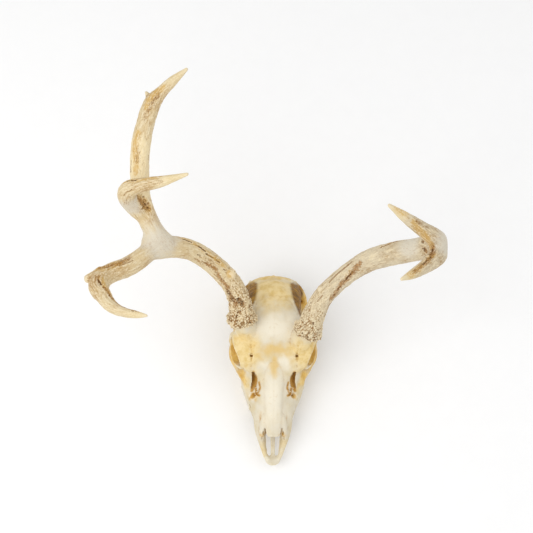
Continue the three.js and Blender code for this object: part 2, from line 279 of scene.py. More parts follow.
def cutAway(piece, cutter):
    cut = piece.modifiers.new("cut", "BOOLEAN")
    cut.operation = "DIFFERENCE"
    cut.solver = "MANIFOLD"
    cut.object = cutter
    applyModifiers(piece)
    bpy.data.objects.remove(cutter)


def smoothThrough(places, rows, at):
    # a smooth curve through rows of values, read at the places in at
    places, rows, at = np.asarray(places, float), np.asarray(rows, float), np.asarray(at, float)
    gaps = np.diff(places)
    slopes = np.diff(rows, axis=0) / gaps[:, None]
    tangents = np.vstack([slopes[:1], slopes])
    before, after = gaps[:-1, None], gaps[1:, None]
    tangents[1:-1] = (slopes[:-1] * after + slopes[1:] * before) / (before + after)
    span = np.clip(np.searchsorted(places, at, side="right") - 1, 0, len(gaps) - 1)
    gap = gaps[span][:, None]
    t = (at - places[span])[:, None] / gap
    start = (2 * t**3 - 3 * t**2 + 1) * rows[span] + (t**3 - 2 * t**2 + t) * gap * tangents[span]
    end = (3 * t**2 - 2 * t**3) * rows[span + 1] + (t**3 - t**2) * gap * tangents[span + 1]
    return start + end


def pathThrough(knots, spacing):
    # points with their radii along a smooth curve through the knots
    knots = np.asarray(knots, float)
    steps = np.linalg.norm(np.diff(knots[:, :3], axis=0), axis=1)
    places = np.concatenate([[0], np.cumsum(np.sqrt(steps))])
    count = max(4, math.ceil(steps.sum() / spacing) + 1)
    return smoothThrough(places, knots, np.linspace(0, places[-1], count))


def skinRings(bm, rings):
    # circles moved to the rings, bridged one to the next and closed at both ends
    circles = []
    for ring in rings:
        circle = bmesh.ops.create_circle(bm, segments=len(ring), radius=1)["verts"]
        for vert, place in zip(circle, ring):
            vert.co = place
        circles.append((circle, list({edge for vert in circle for edge in vert.link_edges})))
    for (_, edges), (_, nextEdges) in zip(circles, circles[1:]):
        bmesh.ops.bridge_loops(bm, edges=edges + nextEdges)
    for circle, _ in (circles[0], circles[-1]):
        bmesh.ops.contextual_create(bm, geom=circle)
    made = {face for circle, _ in circles for vert in circle for face in vert.link_faces}
    bmesh.ops.recalc_face_normals(bm, faces=list(made))


def loft(bm, stations, around=36, spacing=3.0):
    # a body along the skull. A station is back, half width, top, height of the widest line,
    # floor, upper fullness and lower fullness: 2 is round, more is boxy, less is pinched
    stations = np.asarray(stations, float)
    backs = np.linspace(stations[0, 0], stations[-1, 0], math.ceil(np.ptp(stations[:, 0]) / spacing) + 1)
    angles = np.linspace(0, 2 * math.pi, around, endpoint=False)
    sideways, upwards = np.cos(angles), np.sin(angles)
    rings = []
    for back, row in zip(backs, smoothThrough(stations[:, 0], stations[:, 1:], backs)):
        half, top, wide, floor, upper, lower = row
        power = 2 / np.where(upwards > 0, upper, lower)
        reach = np.where(upwards > 0, top - wide, wide - floor)
        across = half * np.sign(sideways) * np.abs(sideways) ** power
        height = wide + reach * np.sign(upwards) * np.abs(upwards) ** power
        rings.append(np.stack([across, np.full(around, back), height], axis=1))
    skinRings(bm, rings)


def railAlong(knots, spacing, upright):
    # centre, forward, lift, beside and radius at each step of a limb
    path = pathThrough(knots, spacing)
    forward = np.gradient(path[:, :3], axis=0)
    forward /= np.linalg.norm(forward, axis=1)[:, None]
    lift = np.asarray(upright, float)
    rail = []
    for row, ahead in zip(path, forward):
        lift = lift - ahead * lift.dot(ahead)
        lift = lift / np.linalg.norm(lift)
        rail.append((row[:3], ahead, lift, np.cross(ahead, lift), max(0.5, row[3])))
    return rail


roundEnd = {"bends": (35, 62, 80), "long": 0.6}  # degrees of its rings, and its length in radii


def limb(bm, knots, around=20, spacing=3.0, tall=1.0, broad=1.0, upright=(0, 0, 1)):
    # a bar or tine along knots of x, y, z and radius, with rounded ends
    rail = railAlong(knots, spacing, upright)
    angles = np.linspace(0, 2 * math.pi, around, endpoint=False)

    def outline(lift, beside):
        return tall * np.outer(np.cos(angles), lift) + broad * np.outer(np.sin(angles), beside)

    rings = []
    for centre, ahead, lift, beside, radius in rail:
        rings.append(centre + radius * outline(lift, beside))
    for end, sign in ((0, -1), (-1, 1)):
        centre, ahead, lift, beside, radius = rail[end]
        for bend in roundEnd["bends"]:
            out = math.radians(bend)
            tip = centre + sign * ahead * radius * roundEnd["long"] * math.sin(out)
            ring = tip + radius * math.cos(out) * outline(lift, beside)
            rings.insert(0 if sign < 0 else len(rings), ring)
    skinRings(bm, rings)


def blob(bm, centre, radii, turn=0.0, pitch=0.0, detail=3):
    turned = Matrix.Rotation(math.radians(turn), 4, "Z") @ Matrix.Rotation(math.radians(pitch), 4, "X")
    shape = Matrix.Translation(centre) @ turned @ Matrix.Diagonal((*radii, 1))
    bmesh.ops.create_icosphere(bm, subdivisions=detail, radius=1, matrix=shape)


def mirrored(side, knots):
    return [(side * knot[0], *knot[1:]) for knot in knots]


# sculpting: brushes that move or paint the vertices near a path

brush = {
    "facesUp": 0.15,  # how much a surface faces up, and how high it lies, to be seen from above
    "liesUp": 30,
    "pull": 0.7,  # how far one round of smoothing takes a vertex to its neighbours' middle
}


class Clay:
    def __init__(self, piece):
        self.mesh = piece.data
        self.count = len(self.mesh.vertices)
        self.layers = {}
        self.refresh()

    def refresh(self):
        self.points = np.empty(self.count * 3, np.float32)
        self.mesh.vertices.foreach_get("co", self.points)
        self.points = self.points.reshape(-1, 3).astype(float)
        self.normals = np.empty(self.count * 3, np.float32)
        self.mesh.vertex_normals.foreach_get("vector", self.normals)
        self.normals = self.normals.reshape(-1, 3).astype(float)

    def save(self):
        self.mesh.vertices.foreach_set("co", self.points.astype(np.float32).ravel())
        self.mesh.update()
        self.refresh()

    def near(self, path, width, seen="round"):
        # vertices within a width of the path and how strongly it takes them, from 0 to 1. A path
        # that is seen even or from above is on both sides, and from above its height doesn't count
        path = np.atleast_2d(np.asarray(path, float))
        points = self.points
        if seen != "round":
            points = np.column_stack([np.abs(points[:, 0]), points[:, 1:]])
        axes = [0, 1] if seen == "above" else [0, 1, 2]
        points, path = points[:, axes], path[:, axes]
        close = ((points > path.min(0) - width) & (points < path.max(0) + width)).all(1)
        if seen == "above":
            close &= (self.normals[:, 2] > brush["facesUp"]) & (self.points[:, 2] > brush["liesUp"])
        found = np.flatnonzero(close)
        gap = np.full(len(found), np.inf)
        for spot in path:
            np.minimum(gap, ((points[found] - spot) ** 2).sum(1), out=gap)
        inside = gap < width * width
        return found[inside], (1 - gap[inside] / width**2) ** 2

    def press(self, path, width, depth, seen="round"):
        found, strength = self.near(path, width, seen)
        self.points[found] -= self.normals[found] * (depth * strength)[:, None]

    def layer(self, name):
        return self.layers.setdefault(name, np.zeros(self.count))

    def paint(self, name, path, width, amount, seen="round"):
        found, strength = self.near(path, width, seen)
        layer = self.layer(name)
        layer[found] = np.maximum(layer[found], amount * strength)

    def roughen(self, size, depth, seed, mask=1.0):
        grain = fuzz(self.points, size, seed)
        self.points += self.normals * (grain * depth * mask)[:, None]

    def averaged(self, places):
        # each vertex at the middle of its neighbours
        pairs = np.empty(len(self.mesh.edges) * 2, np.int32)
        self.mesh.edges.foreach_get("vertices", pairs)
        first, second = pairs.reshape(-1, 2).T
        total = np.bincount(first, minlength=self.count) + np.bincount(second, minlength=self.count)
        sums = []
        for column in places.T:
            fromSecond = np.bincount(first, column[second], self.count)
            fromFirst = np.bincount(second, column[first], self.count)
            sums.append(fromSecond + fromFirst)
        return np.stack(sums, axis=1) / np.maximum(total, 1)[:, None]

    def relax(self, mask, rounds):
        for _ in range(rounds):
            self.points += (self.averaged(self.points) - self.points) * (brush["pull"] * mask)[:, None]
        self.save()

    def hollows(self, rounds):
        # how far each vertex lies below its smoothed surroundings
        smooth = self.points.copy()
        for _ in range(rounds):
            smooth = self.averaged(smooth)
        return ((smooth - self.points) * self.normals).sum(1)

    def store(self):
        for name, values in self.layers.items():
            kind, field = ("FLOAT_VECTOR", "vector") if values.ndim == 2 else ("FLOAT", "value")
            made = self.mesh.attributes.new(name, kind, "POINT")
            made.data.foreach_set(field, values.astype(np.float32).ravel())


def ramp(values, low, high):
    return np.clip((values - low) / (high - low), 0, 1)


def fuzz(points, size, seed):
    return np.array([noise.noise(Vector(p)) for p in points / size + seed])


def wandering(path, spacing, sway, seed):
    # the path with small sideways waves, as a suture has
    line = pathThrough([(*spot, 1) for spot in path], spacing)[:, :3]
    for axis in range(3):
        line[:, axis] += sway * fuzz(line, 3.0, seed + 7.3 * axis)
    return line


# skull

skull = {
    "voxel": 1.0,  # size of the cells that fuse the bones, mm
    "easing": 4,
    "triangles": 190000,
    "stepEasing": 50,  # rounds of smoothing where bodies meet on the face and the crest
    "skullBack": 250,  # nose tip to the crest at the back of the head
    "crestUp": 79,
    "browUp": 112,
    "archHalfWidth": 60,  # half the greatest width, at the cheek bones
    "archUp": 50,
    "waveSize": 22.0,  # size and depth of the slow unevenness of the bone
    "waveDepth": 0.5,
    "strandScale": (0.12, 0.5, 0.2),
    "strandDepth": 0.5,  # of the muscle's strands on the temples
    "napeSize": 4.2,
    "napeDepth": 0.22,
    "poreSize": 1.9,
    "poreDepth": 0.16,
    "seed": 11,
}
eyeSocket = {"across": 50, "back": 145, "up": 74.5, "deep": 29, "long": 19.5, "tall": 17.8, "turn": 8}
nosePassage = [  # stations, as in loft
    [36, 9, 46.2, 38, 23.4, 2.2, 3],
    [48, 14.5, 47.5, 36, 23.4, 2.6, 3],
    [62, 18, 51.5, 38, 24, 2.2, 3],
    [75, 20, 55, 40, 24, 2.2, 2.6],
    [100, 23, 62, 44, 26, 2, 2.4],
    [124, 14, 64, 48, 32, 2, 2],
]
faceGaps = [  # across, back and radius of the slits between the nasal, tear and brow bones
    [(27.2, 115, 1.7), (24.8, 108.5, 2.9), (25.8, 101.5, 2.6), (28.8, 96, 1.6)],
    [(19.5, 104, 0.7), (18.2, 97, 1.0), (20.5, 91.5, 0.7)],
    [(23.5, 97, 0.9), (22.4, 90, 1.3), (18.8, 88, 0.9)],
]
tearPit = (27.5, 89.5)


def faceBodies(bm):
    loft(bm, [
        [44, 22, 41, 29, 19, 2, 2.2],
        [60, 26, 52, 32, 19, 1.9, 2.2],
        [75, 31, 61, 34, 18, 1.8, 3],
        [90, 37.5, 70, 36, 17, 1.7, 3.4],
        [105, 42, 78, 40, 17, 1.7, 3.2],
        [118, 43.5, 86, 45, 17, 1.8, 2.8],
        [132, 42.5, 94, 55, 18, 2, 2.6],
        [147, 34, 102, 70, 27, 2.2, 2],
        [162, 31, 106, 76, 34, 2.2, 2],
        [180, 31, 107, 78, 38, 2.2, 2],
    ])
    for side in bothSides:
        limb(bm, mirrored(side, [
            (24, 70, 23, 4),
            (26.5, 84, 21.5, 7),
            (30.5, 104, 21, 8),
            (33.5, 126, 21, 8.6),
            (33.5, 148, 22, 8.4),
            (31, 162, 25, 6),
        ]))
        blob(bm, (side * 11.5, 168, 30), (2.0, 22, 13), turn=side * 3)


def nasalRoof(bm):
    loft(bm, [
        [35, 7.5, 50.5, 48, 46.5, 2.2, 3],
        [42, 10.5, 54, 50, 48.5, 2.2, 3],
        [60, 11.5, 60.5, 55, 52.5, 2.4, 3],
        [85, 12, 71, 64, 60, 2.4, 3],
        [108, 14, 82, 72, 66, 2.4, 3],
        [124, 12, 90, 80, 74, 2.2, 3],
    ], around=28)


def noseBones(bm):
    for side in bothSides:
        limb(bm, mirrored(side, [
            (6.2, 9, 18.8, 4.2),
            (9.4, 14, 19.2, 3.5),
            (12.7, 24, 21, 4.1),
            (15.6, 34, 24, 5.3),
            (18.2, 44, 28, 6.1),
            (19.8, 54, 33, 6.4),
            (20, 66, 42, 6.5),
            (16, 76, 51, 5),
        ]), spacing=2, broad=0.9)
        rise = [(15.2, 38, 29, 4.4), (15, 43, 38, 4.8), (14, 50, 45.5, 5.4), (12.6, 62, 52.5, 5)]
        limb(bm, mirrored(side, rise), spacing=2, broad=0.85)  # up to the nasal bones
        shelf = [(9.4, 20, 19.5, 1.8), (11.2, 30, 21, 2.7), (12.2, 40, 24, 3.2), (14, 50, 29, 3)]
        limb(bm, mirrored(side, shelf), spacing=2, tall=0.5)  # beside the slots in the roof of the mouth
        rod = [(2.6, 6, 18.5, 3.0), (1.4, 13, 18.5, 2.0), (1.2, 30, 19.5, 1.8), (1.4, 58, 21, 2.4)]
        limb(bm, mirrored(side, rod))
        blob(bm, (side * 4.0, 8.6, 18.6), (6.0, 6.2, 3.4))
        blob(bm, (side * 1.8, 4.8, 18.4), (4.2, 3.8, 2.8))


def browBodies(bm):
    up = skull["browUp"]
    loft(bm, [
        [112, 28, 81, 72, 58, 2.1, 2],
        [122, 42, 87.5, 79, 67, 2.3, 2],
        [132, 48, 94, 86.5, 77, 2.6, 2],
        [144, 52.5, 102, 93, 85, 2.6, 2],
        [154, 55.5, up - 5, 95.5, 86, 2.3, 2],
        [162, 55, up - 2, 96.5, 84, 2.1, 2],
        [172, 45, up, 94, 76, 2.1, 2],
        [186, 38, up + 1, 90, 70, 2.2, 2],
        [200, 36, up, 88, 66, 2.2, 2],
    ])
    limb(bm, [(-33, 163, 88, 17), (-38, 169, 105, 14.5), (-43, 176, 120, 13.5)], around=28)
    limb(bm, [(31, 151, 88, 17), (36, 156, 104, 14.5), (42, 162, 118, 13.5)], around=28)


def braincaseBodies(bm):
    back, crest, up = skull["skullBack"], skull["crestUp"], skull["browUp"]
    loft(bm, [
        [158, 24, 104, 76, 44, 2.2, 2],
        [176, 33, up - 2, 78, 38, 2.2, 2],
        [195, 37, up, 76, 34, 2.3, 2.2],
        [212, 38, 108.5, 72, 32, 2.3, 2.4],
        [228, 37.5, 101, 66, 31, 2.2, 2.6],
        [back - 11, 35, 90, 60, 31, 2, 2.6],
        [back - 4, 31, 80, 56, 32, 2, 2.4],
        [back, 25, 72, 54, 36, 2, 2.2],
    ])
    halfCrest = [
        (44.5, back - 34, crest - 28, 3.4),
        (41, back - 22, crest - 19, 4.2),
        (32, back - 11.5, crest - 10.5, 4.6),
        (17, back - 5.5, crest - 4, 4.8),
    ]
    limb(bm, [*mirrored(-1, halfCrest), (0, back - 4.5, crest - 0.8, 4.8), *reversed(halfCrest)], spacing=2)
    under = [(0, back - 2, 34, 9), (0, 238, 32, 10), (0, 215, 35, 9), (0, 190, 39, 9), (0, 165, 44, 9)]
    limb(bm, under, tall=0.65)
    earTube = [(22, 222, 38, 6), (34, 224, 43, 5), (43, 225, 47, 5)]
    for side in bothSides:
        blob(bm, (side * 38, 212, 49), (15, 9, 6.5), turn=side * -12)  # the jaw's hinge
        blob(bm, (side * 21, 224, 31), (8, 13, 11))  # hearing bone
        blob(bm, (side * 36.5, 233, 47), (7.5, 9.5, 14), pitch=8)  # behind the ear
        limb(bm, mirrored(side, earTube))
        blob(bm, (side * 14.5, back, 40), (8.5, 9.5, 12.5), turn=side * -24, pitch=12)  # neck joint
        process = [(31, 243, 47, 10), (31, 242, 32, 9), (29.5, 240.5, 15, 6.5), (27.3, 239.5, 3.2, 3.4)]
        limb(bm, mirrored(side, process), broad=0.42, upright=(0, 1, 0))


def cheekBodies(bm):
    wide, up = skull["archHalfWidth"], skull["archUp"]
    arch = [
        (34, 100, up - 8, 5),
        (40, 114, up - 4, 7),
        (47.5, 128, up - 1.5, 8.5),
        (wide - 5, 142, up, 8),
        (wide - 4, 156, up, 7.2),
        (wide - 7.5, 171, up, 6.4),
        (50.5, 188, up - 1, 5.2),
        (48, 203, up - 1, 5),
        (40, 215, up - 1, 5),
    ]
    shelf = [(36, 112, up, 5), (45, 126, up + 2, 6.5), (49, 142, up + 3.5, 7), (51, 160, up + 4, 5)]
    bar = [(49, 160, 96, 7), (52.5, 165, 84, 6), (55.5, 167, 68, 5.5), (55, 166, up + 1, 7)]
    for side in bothSides:
        limb(bm, mirrored(side, arch), broad=0.5)
        limb(bm, mirrored(side, shelf), tall=0.42)
        limb(bm, mirrored(side, bar), broad=0.75, upright=(0, 1, 0))


def socketRims(bm):
    rim = [
        (42, 124.5, 72, 3.0),
        (43.5, 128.5, 83, 2.8),
        (48.2, 140, 91, 2.8),
        (51.8, 152, 93.5, 3.0),
        (53.2, 162, 88, 3.2),
        (54.5, 165.5, 76, 3.2),
        (54.6, 161, 62, 4.0),
        (53.6, 148, 57.5, 4.8),
        (49.4, 134, 60, 4.6),
        (44, 126.5, 66, 3.8),
        (42, 124.5, 72, 3.0),
    ]
    for side in bothSides:
        limb(bm, mirrored(side, rim), around=12, spacing=2)


nerveHoles = {
    "behind the eye": [(24, 153, 72, 3.2), (17, 160, 70, 2.6)],
    "over the eye": [(30, 135, 104, 1.6), (30, 135, 94, 1.6), (33, 138, 84, 1.6)],
    "before the cheek": [(38, 70, 38, 2.6), (30, 79, 39, 2.6), (24, 88, 40, 2.2)],
}


def restOn(piece, spots):
    # places seen from above, each with its radius, put on the upper surface of a piece
    rested = []
    for across, back, radius in spots:
        _, place, _, _ = piece.ray_cast(Vector((across, back, 2 * skull["browUp"])), Vector((0, 0, -1)))
        rested.append((across, back, place.z, radius))
    return rested


def cutOpenings(bm, piece):
    loft(bm, nosePassage)
    loft(bm, [  # the vault of the palate
        [62, 10, 21, 16, 8, 2, 2],
        [90, 17, 24.5, 12, -4, 2, 2],
        [130, 23, 26, 10, -6, 2, 2],
        [172, 24, 27, 10, -6, 2, 2],
    ])
    limb(bm, [(0, 146, 33, 7), (0, 165, 32, 8.6), (0, 192, 25, 8)], tall=1.2)  # throat
    back = skull["skullBack"]
    neck = [(0, back - 30, 56, 9), (0, back - 14, 53, 9.5), (0, back, 51, 10.5), (0, back + 18, 49, 12.5)]
    limb(bm, neck)
    eye = eyeSocket
    eyeRadii = (eye["deep"], eye["long"], eye["tall"])
    jawMuscle = [(46, 176, 90, 8), (45, 188, 86, 10), (44.5, 204, 79, 10), (44.5, 218, 72, 6)]
    insideArch = [(41, 176, 58, 5.5), (41.5, 188, 54, 5.5), (40, 199, 52, 3.6)]
    for side in bothSides:
        eyeAt = (side * eye["across"], eye["back"], eye["up"])
        blob(bm, eyeAt, eyeRadii, turn=side * eye["turn"], detail=4)
        for hole in nerveHoles.values():
            limb(bm, mirrored(side, hole), spacing=1)
        for gap in faceGaps:
            limb(bm, restOn(piece, mirrored(side, gap)), spacing=1, tall=4.5)
        limb(bm, mirrored(side, jawMuscle), tall=1.5)
        limb(bm, mirrored(side, insideArch), tall=2.4)
        blob(bm, (side * 36, 228, 47), (10, 3.4, 3.4), turn=side * -20)  # ear
    blob(bm, (0, 240, -24), (90, 60, 24.0))  # these two keep the bone above the surface it lies on
    blob(bm, (0, 100, -40), (90, 90, 40.0))


def innerNose(bm):
    # the dividing wall, two leaves on each side of it and the thin bones that cross the slits
    wall = [(0, 60, 34, 9.5), (0, 80, 38, 13), (0, 105, 42, 16), (0, 128, 50, 14)]
    limb(bm, wall, broad=0.075)
    crossing = (
        [(21.5, 99, 66, 0.8), (26.5, 97.5, 62, 0.8)],
        [(19, 93.5, 68, 0.7), (24.5, 92, 63, 0.8)],
    )
    lowerLeaf = [(8, 66, 36, 4.6), (10, 84, 38, 6), (10, 104, 41, 6), (8, 122, 46, 4)]
    upperLeaf = [(13.2, 70, 42, 3.4), (14, 88, 45, 4.2), (12, 116, 49, 3)]
    for side in bothSides:
        for thin in crossing:
            limb(bm, mirrored(side, thin), spacing=1, tall=3.0)
        limb(bm, mirrored(side, lowerLeaf), broad=0.32)
        limb(bm, mirrored(side, upperLeaf), tall=0.3)


sutures = {  # path, width, depth, how it is seen and how brown it is
    "between the nasals": ([(0, 33, 52), (0, 80, 70), (0, 128, 92)], 2.2, 0.35, "above", 0.1),
    "beside the nasals": ([(10.2, 42, 52), (11.8, 60, 58), (12.4, 85, 69), (14, 106, 78)],
                          2.4, 0.55, "above", 0.15),
    "behind the nasals": ([(14, 106, 78), (11, 116, 84), (5, 126, 91), (0, 129, 93)],
                          2.0, 0.25, "above", 0.2),
    "down the forehead": ([(0, 129, 93), (0, 170, 112), (0, 213, 108)], 2.0, 0.2, "above", 0.1),
    "across the head": ([(0, 211, 108), (4, 214, 108), (8, 211, 107), (13, 213, 106), (17, 207, 105),
                         (22, 206, 105), (25, 199, 104), (31, 188, 98)], 1.9, 0.3, "above", 0.32),
    "beside the nose": ([(16, 40, 24), (19, 49, 36), (17, 58, 46), (13.5, 65, 54)], 1.6, 0.4, "even", 0.3),
    "before the eye": ([(40, 108, 60), (42, 116, 60), (43, 124, 66)], 1.6, 0.45, "even", 0.5),
    "along the cheek": ([(34, 96, 44), (41, 112, 46), (48, 128, 58)], 1.6, 0.45, "even", 0.5),
    "on the arch": ([(57, 158, 56), (56, 166, 50), (54, 174, 45)], 1.6, 0.5, "even", 0.6),
    "on the temple": ([(30, 180, 62), (34, 196, 66), (35, 212, 68), (34, 226, 62)], 1.6, 0.45, "even", 0.6),
}


def easeSteps(clay):
    # melts the creases between the bodies beside the nasal bones, on the temples and along the crest,
    # but leaves the slits of the face crisp
    across, back, up = np.abs(clay.points[:, 0]), clay.points[:, 1], clay.points[:, 2]
    roof = ramp(back, 43, 52) * ramp(back, 130, 118) * ramp(across, 30, 22) * ramp(up, 38, 46)
    for gap in faceGaps:
        for x, y, _, _ in pathThrough([(x, y, 0, radius) for x, y, radius in gap], 2.0):
            roof *= ramp(np.hypot(across - x, back - y), 2.5, 6.5)
    nape = ramp(back, 222, 234) * ramp(up, 50, 58)
    side = ramp(across, 24, 31) * ramp(up, 54, 64) * ramp(back, 168, 178) * ramp(back, 240, 230)
    clay.relax(np.maximum(roof, np.maximum(nape, side) * 0.7), skull["stepEasing"])


carvings = {  # path, width, depth, which is negative where bone is raised, and how it is seen
    "groove on the brow": ([(30.5, 122, 90), (30.5, 134, 97), (31, 146, 104), (33, 156, 107)],
                           4.0, 1.4, "above"),
    "crack in the groove": (wandering([(30.5, 128, 92), (30, 135, 97), (30.5, 144, 102)], 1, 0.3, 3),
                            2.2, 0.9, "above"),
    "tear pit": ([(*tearPit, 55), (29.5, 94, 59)], 6.0, 2.2, "above"),
    "bottom of the tear pit": ([(*tearPit, 54)], 4.6, 5.2, "above"),
    "side of the nose": ([(18, 60, 50), (19, 84, 62), (20, 100, 70)], 8, 0.9, "above"),
    "notch beside the nasals": ([(14, 35, 36), (12, 41, 45)], 3.4, 2.2, "above"),
    "ridge of the nasals": ([(0, 60, 60), (0, 84, 71), (0, 104, 80)], 7, -0.7, "above"),
    "line of the jaw muscle": ([(35, 176, 104), (29, 190, 105), (25, 206, 102), (23, 222, 96), (24, 236, 87)],
                               3.2, -0.9, "even"),
    "top of the crest": ([(0, 236, 90), (0, 244, 82)], 8, -0.8, "even"),
    "middle of the forehead": ([(0, 150, 104), (0, 190, 113)], 6, -0.4, "above"),
    "beside the forehead": ([(17, 128, 90), (16, 150, 104)], 10, 0.9, "above"),
    "edge of the cheek": ([(41, 104, 36), (46, 118, 42), (52, 134, 45), (56, 150, 45)], 3.5, -1.2, "even"),
    "hollow of the nape": ([(13, 252, 62), (14, 250, 70)], 9, 1.6, "even"),
    "ridge of the nape": ([(0, 253, 60), (0, 250, 78)], 2.6, -1.2, "even"),
}


def carveDetail(clay):
    for path, width, depth, seen in carvings.values():
        clay.press(path, width, depth, seen)
    for seed, (path, width, depth, seen, _) in enumerate(sutures.values()):
        clay.press(wandering(path, 0.8, 0.9, seed), width, depth, seen)
    clay.save()


temple = {
    "backs": (160, 176, 190, 206, 222, 236, 246),  # places along the head, and the roof's half width there
    "edges": (44, 38, 30, 23.5, 20, 19.5, 24),
    "fade": 5,  # how softly the wall begins below the roof
    "low": 56,
    "lowFade": 9,
    "outer": 39,  # how far out the wall reaches
    "outerFade": 4,
    "front": (168, 182),
    "rear": (247, 236),
}


def templeWall(clay):
    # 1 where the jaw muscle was rooted on the side of the braincase
    across, back, up = np.abs(clay.points[:, 0]), clay.points[:, 1], clay.points[:, 2]
    edge = np.interp(back, temple["backs"], temple["edges"])
    outer, low = temple["outer"], temple["low"]
    wall = ramp(across, edge, edge + temple["fade"]) * ramp(up, low, low + temple["lowFade"])
    wall = wall * ramp(back, *temple["front"]) * ramp(back, *temple["rear"])
    return wall * ramp(across, outer + temple["outerFade"], outer)


def strandOf(clay):
    # places along and across the muscle's strands, which run down and forwards from the temple
    across, back, up = np.abs(clay.points[:, 0]), clay.points[:, 1], clay.points[:, 2]
    along = 0.3 * across - 0.62 * back - 0.72 * up
    beside = 0.76 * back - 0.65 * up + 2.5 * fuzz(clay.points, 16.0, 41)
    return np.column_stack([along, beside, across])


def roughenBone(clay):
    clay.roughen(skull["waveSize"], skull["waveDepth"], skull["seed"])
    strand = strandOf(clay) * np.array(skull["strandScale"])
    clay.points += clay.normals * (fuzz(strand, 1.0, 5) * skull["strandDepth"] * templeWall(clay))[:, None]
    nape = np.clip((clay.points[:, 1] - 236) / 10, 0, 1)
    clay.roughen(skull["napeSize"], skull["napeDepth"], 19, nape)
    clay.roughen(skull["poreSize"], skull["poreDepth"], 23)
    clay.save()


spots = {  # of colour on the bone: centre, spread, strength, and "one" if only on one side
    "bleach": [
        ((0, 169, 112), (35, 19, 30), 1.0),
        ((0, 82, 70), (19, 56, 34), 0.85),
        ((14, 125, 92), (13, 15, 14), 0.85, "one"),
        ((-14, 120, 90), (12, 13, 12), 0.75, "one"),
        ((27, 180, 110), (15, 15, 24), 0.9, "one"),
        ((10, 62, 52), (16, 28, 22), 0.6),
    ],
    "tan": [
        ((0, 226, 104), (38, 33, 40), 1.0),
        ((40, 138, 96), (26, 35, 30), 1.1),
        ((28, 126, 90), (10, 16, 16), 0.7),
        ((38, 100, 58), (6, 28, 16), 0.75),
        ((42, 158, 102), (16, 13, 24), 0.9),
        ((0, 247, 76), (44, 9, 24), 0.9),
        ((14, 22, 22), (8, 22, 14), 0.5),
    ],
    "stain": [
        ((0, 142, 99), (24, 10, 16), 0.95),
        ((0, 121, 89), (6, 20, 14), 1.0),
        ((18, 137, 97), (8, 6, 12), 0.7),
    ],
    "amber": [
        ((54, 147, 58), (15, 27, 14), 1.1),
        ((50, 196, 50), (10, 36, 14), 1.1),
        ((43, 222, 54), (10, 18, 15), 1.1),
        ((41, 117, 52), (10, 18, 13), 0.8),
        ((31, 238, 66), (14, 7, 11), 0.7),
        ((0, 246, 79), (22, 4, 6), 0.5),
        ((30, 145, 98), (4, 17, 12), 0.5),
        ((*tearPit, 52), (6, 6.5, 10), 1.1),
        ((13, 38, 41), (4.5, 5.5, 9), 1.0),
        ((38, 157, 104), (20, 8, 20), 0.45),
    ],
    # darker spots: painted shade in the notch beside the nasals and at the rim of the tear pit, and a faint
    # darker spot below the crest
    "dark": [
        ((0, 241, 82), (8, 4, 6), 0.2),
        ((12.5, 39, 38), (5, 5, 9), 0.4),
        ((27, 86, 52), (2.5, 2.5, 4), 0.7),
    ],
}
driftSize = 9.0  # the spots' edges wander by up to driftWide over this length, mm
driftWide = 5


def colourBone(clay):
    across, back, up = np.abs(clay.points[:, 0]), clay.points[:, 1], clay.points[:, 2]
    folded = np.column_stack([across, back, up])
    drift = np.column_stack([fuzz(clay.points, driftSize, seed) for seed in (31, 47, 59)]) * driftWide
    for name, marks in spots.items():
        layer = clay.layer(name)
        for centre, spread, strength, *oneSide in marks:
            where = clay.points if oneSide else folded
            gap = (((where + drift - centre) / spread) ** 2).sum(1)
            layer[:] = np.maximum(layer, strength * np.exp(-gap))
    for gap in faceGaps:
        clay.paint("amber", gap, 3.5, 0.55, "above")
    # the temple wall, painted in dark brown strands: partly the stain of the muscle's strands, partly painted
    # shade of the wall, which faces sideways
    clay.layers["templeStainAndShade"] = templeWall(clay)
    clay.layers["strand"] = strandOf(clay)
    # inside the nose passage, and below that on the walls of the face's slits: partly the bone's brown stain,
    # partly painted shade of these recesses
    stations = np.array(nosePassage, float)
    half, top, wide, floor = smoothThrough(stations[:, 0], stations[:, 1:5], np.clip(back, 40, 124)).T
    reach = np.where(up > wide, top - wide, wide - floor)
    inNose = (across / half) ** 3 + np.abs((up - wide) / reach) ** 3
    clay.layers["inside"] = ramp(inNose, 1.5, 1.15) * ramp(back, 38, 50) * ramp(back, 132, 126)
    for gap in faceGaps:
        for x, y, _, wide in pathThrough([(x, y, 0, radius) for x, y, radius in gap], 2.0):
            walls = ramp(np.hypot(across - x, back - y), wide + 0.9, wide - 0.2) * (up > 40)
            clay.layers["inside"] = np.maximum(clay.layers["inside"], walls)
    eye = eyeSocket
    fromEye = folded - (eye["across"], eye["back"], eye["up"])
    inEye = ((fromEye / (eye["deep"], eye["long"], eye["tall"])) ** 2).sum(1)
    # painted shade, deeper into the eye socket
    clay.layers["socket"] = ramp(inEye, 1.35, 0.95) * ramp(across, 43, 33)
    for seed, (path, width, _, seen, tint) in enumerate(sutures.values()):
        clay.paint("suture", wandering(path, 0.8, 0.9, seed), width, tint, seen)
    clay.paint("suture", [(30, 131, 95), (30, 136, 98)], 2.4, 1.0, "above")
    # how far each place lies below (positive) or above (negative) its smoothed surroundings: these lay
    # painted shade into hollows and deep recesses, and a painted highlight onto raised edges
    clay.layers["hollow"] = np.clip(clay.hollows(6) / 0.5, -1, 1)
    clay.layers["deep"] = np.clip(clay.hollows(90) / 2.5, -1, 1)
    clay.store()


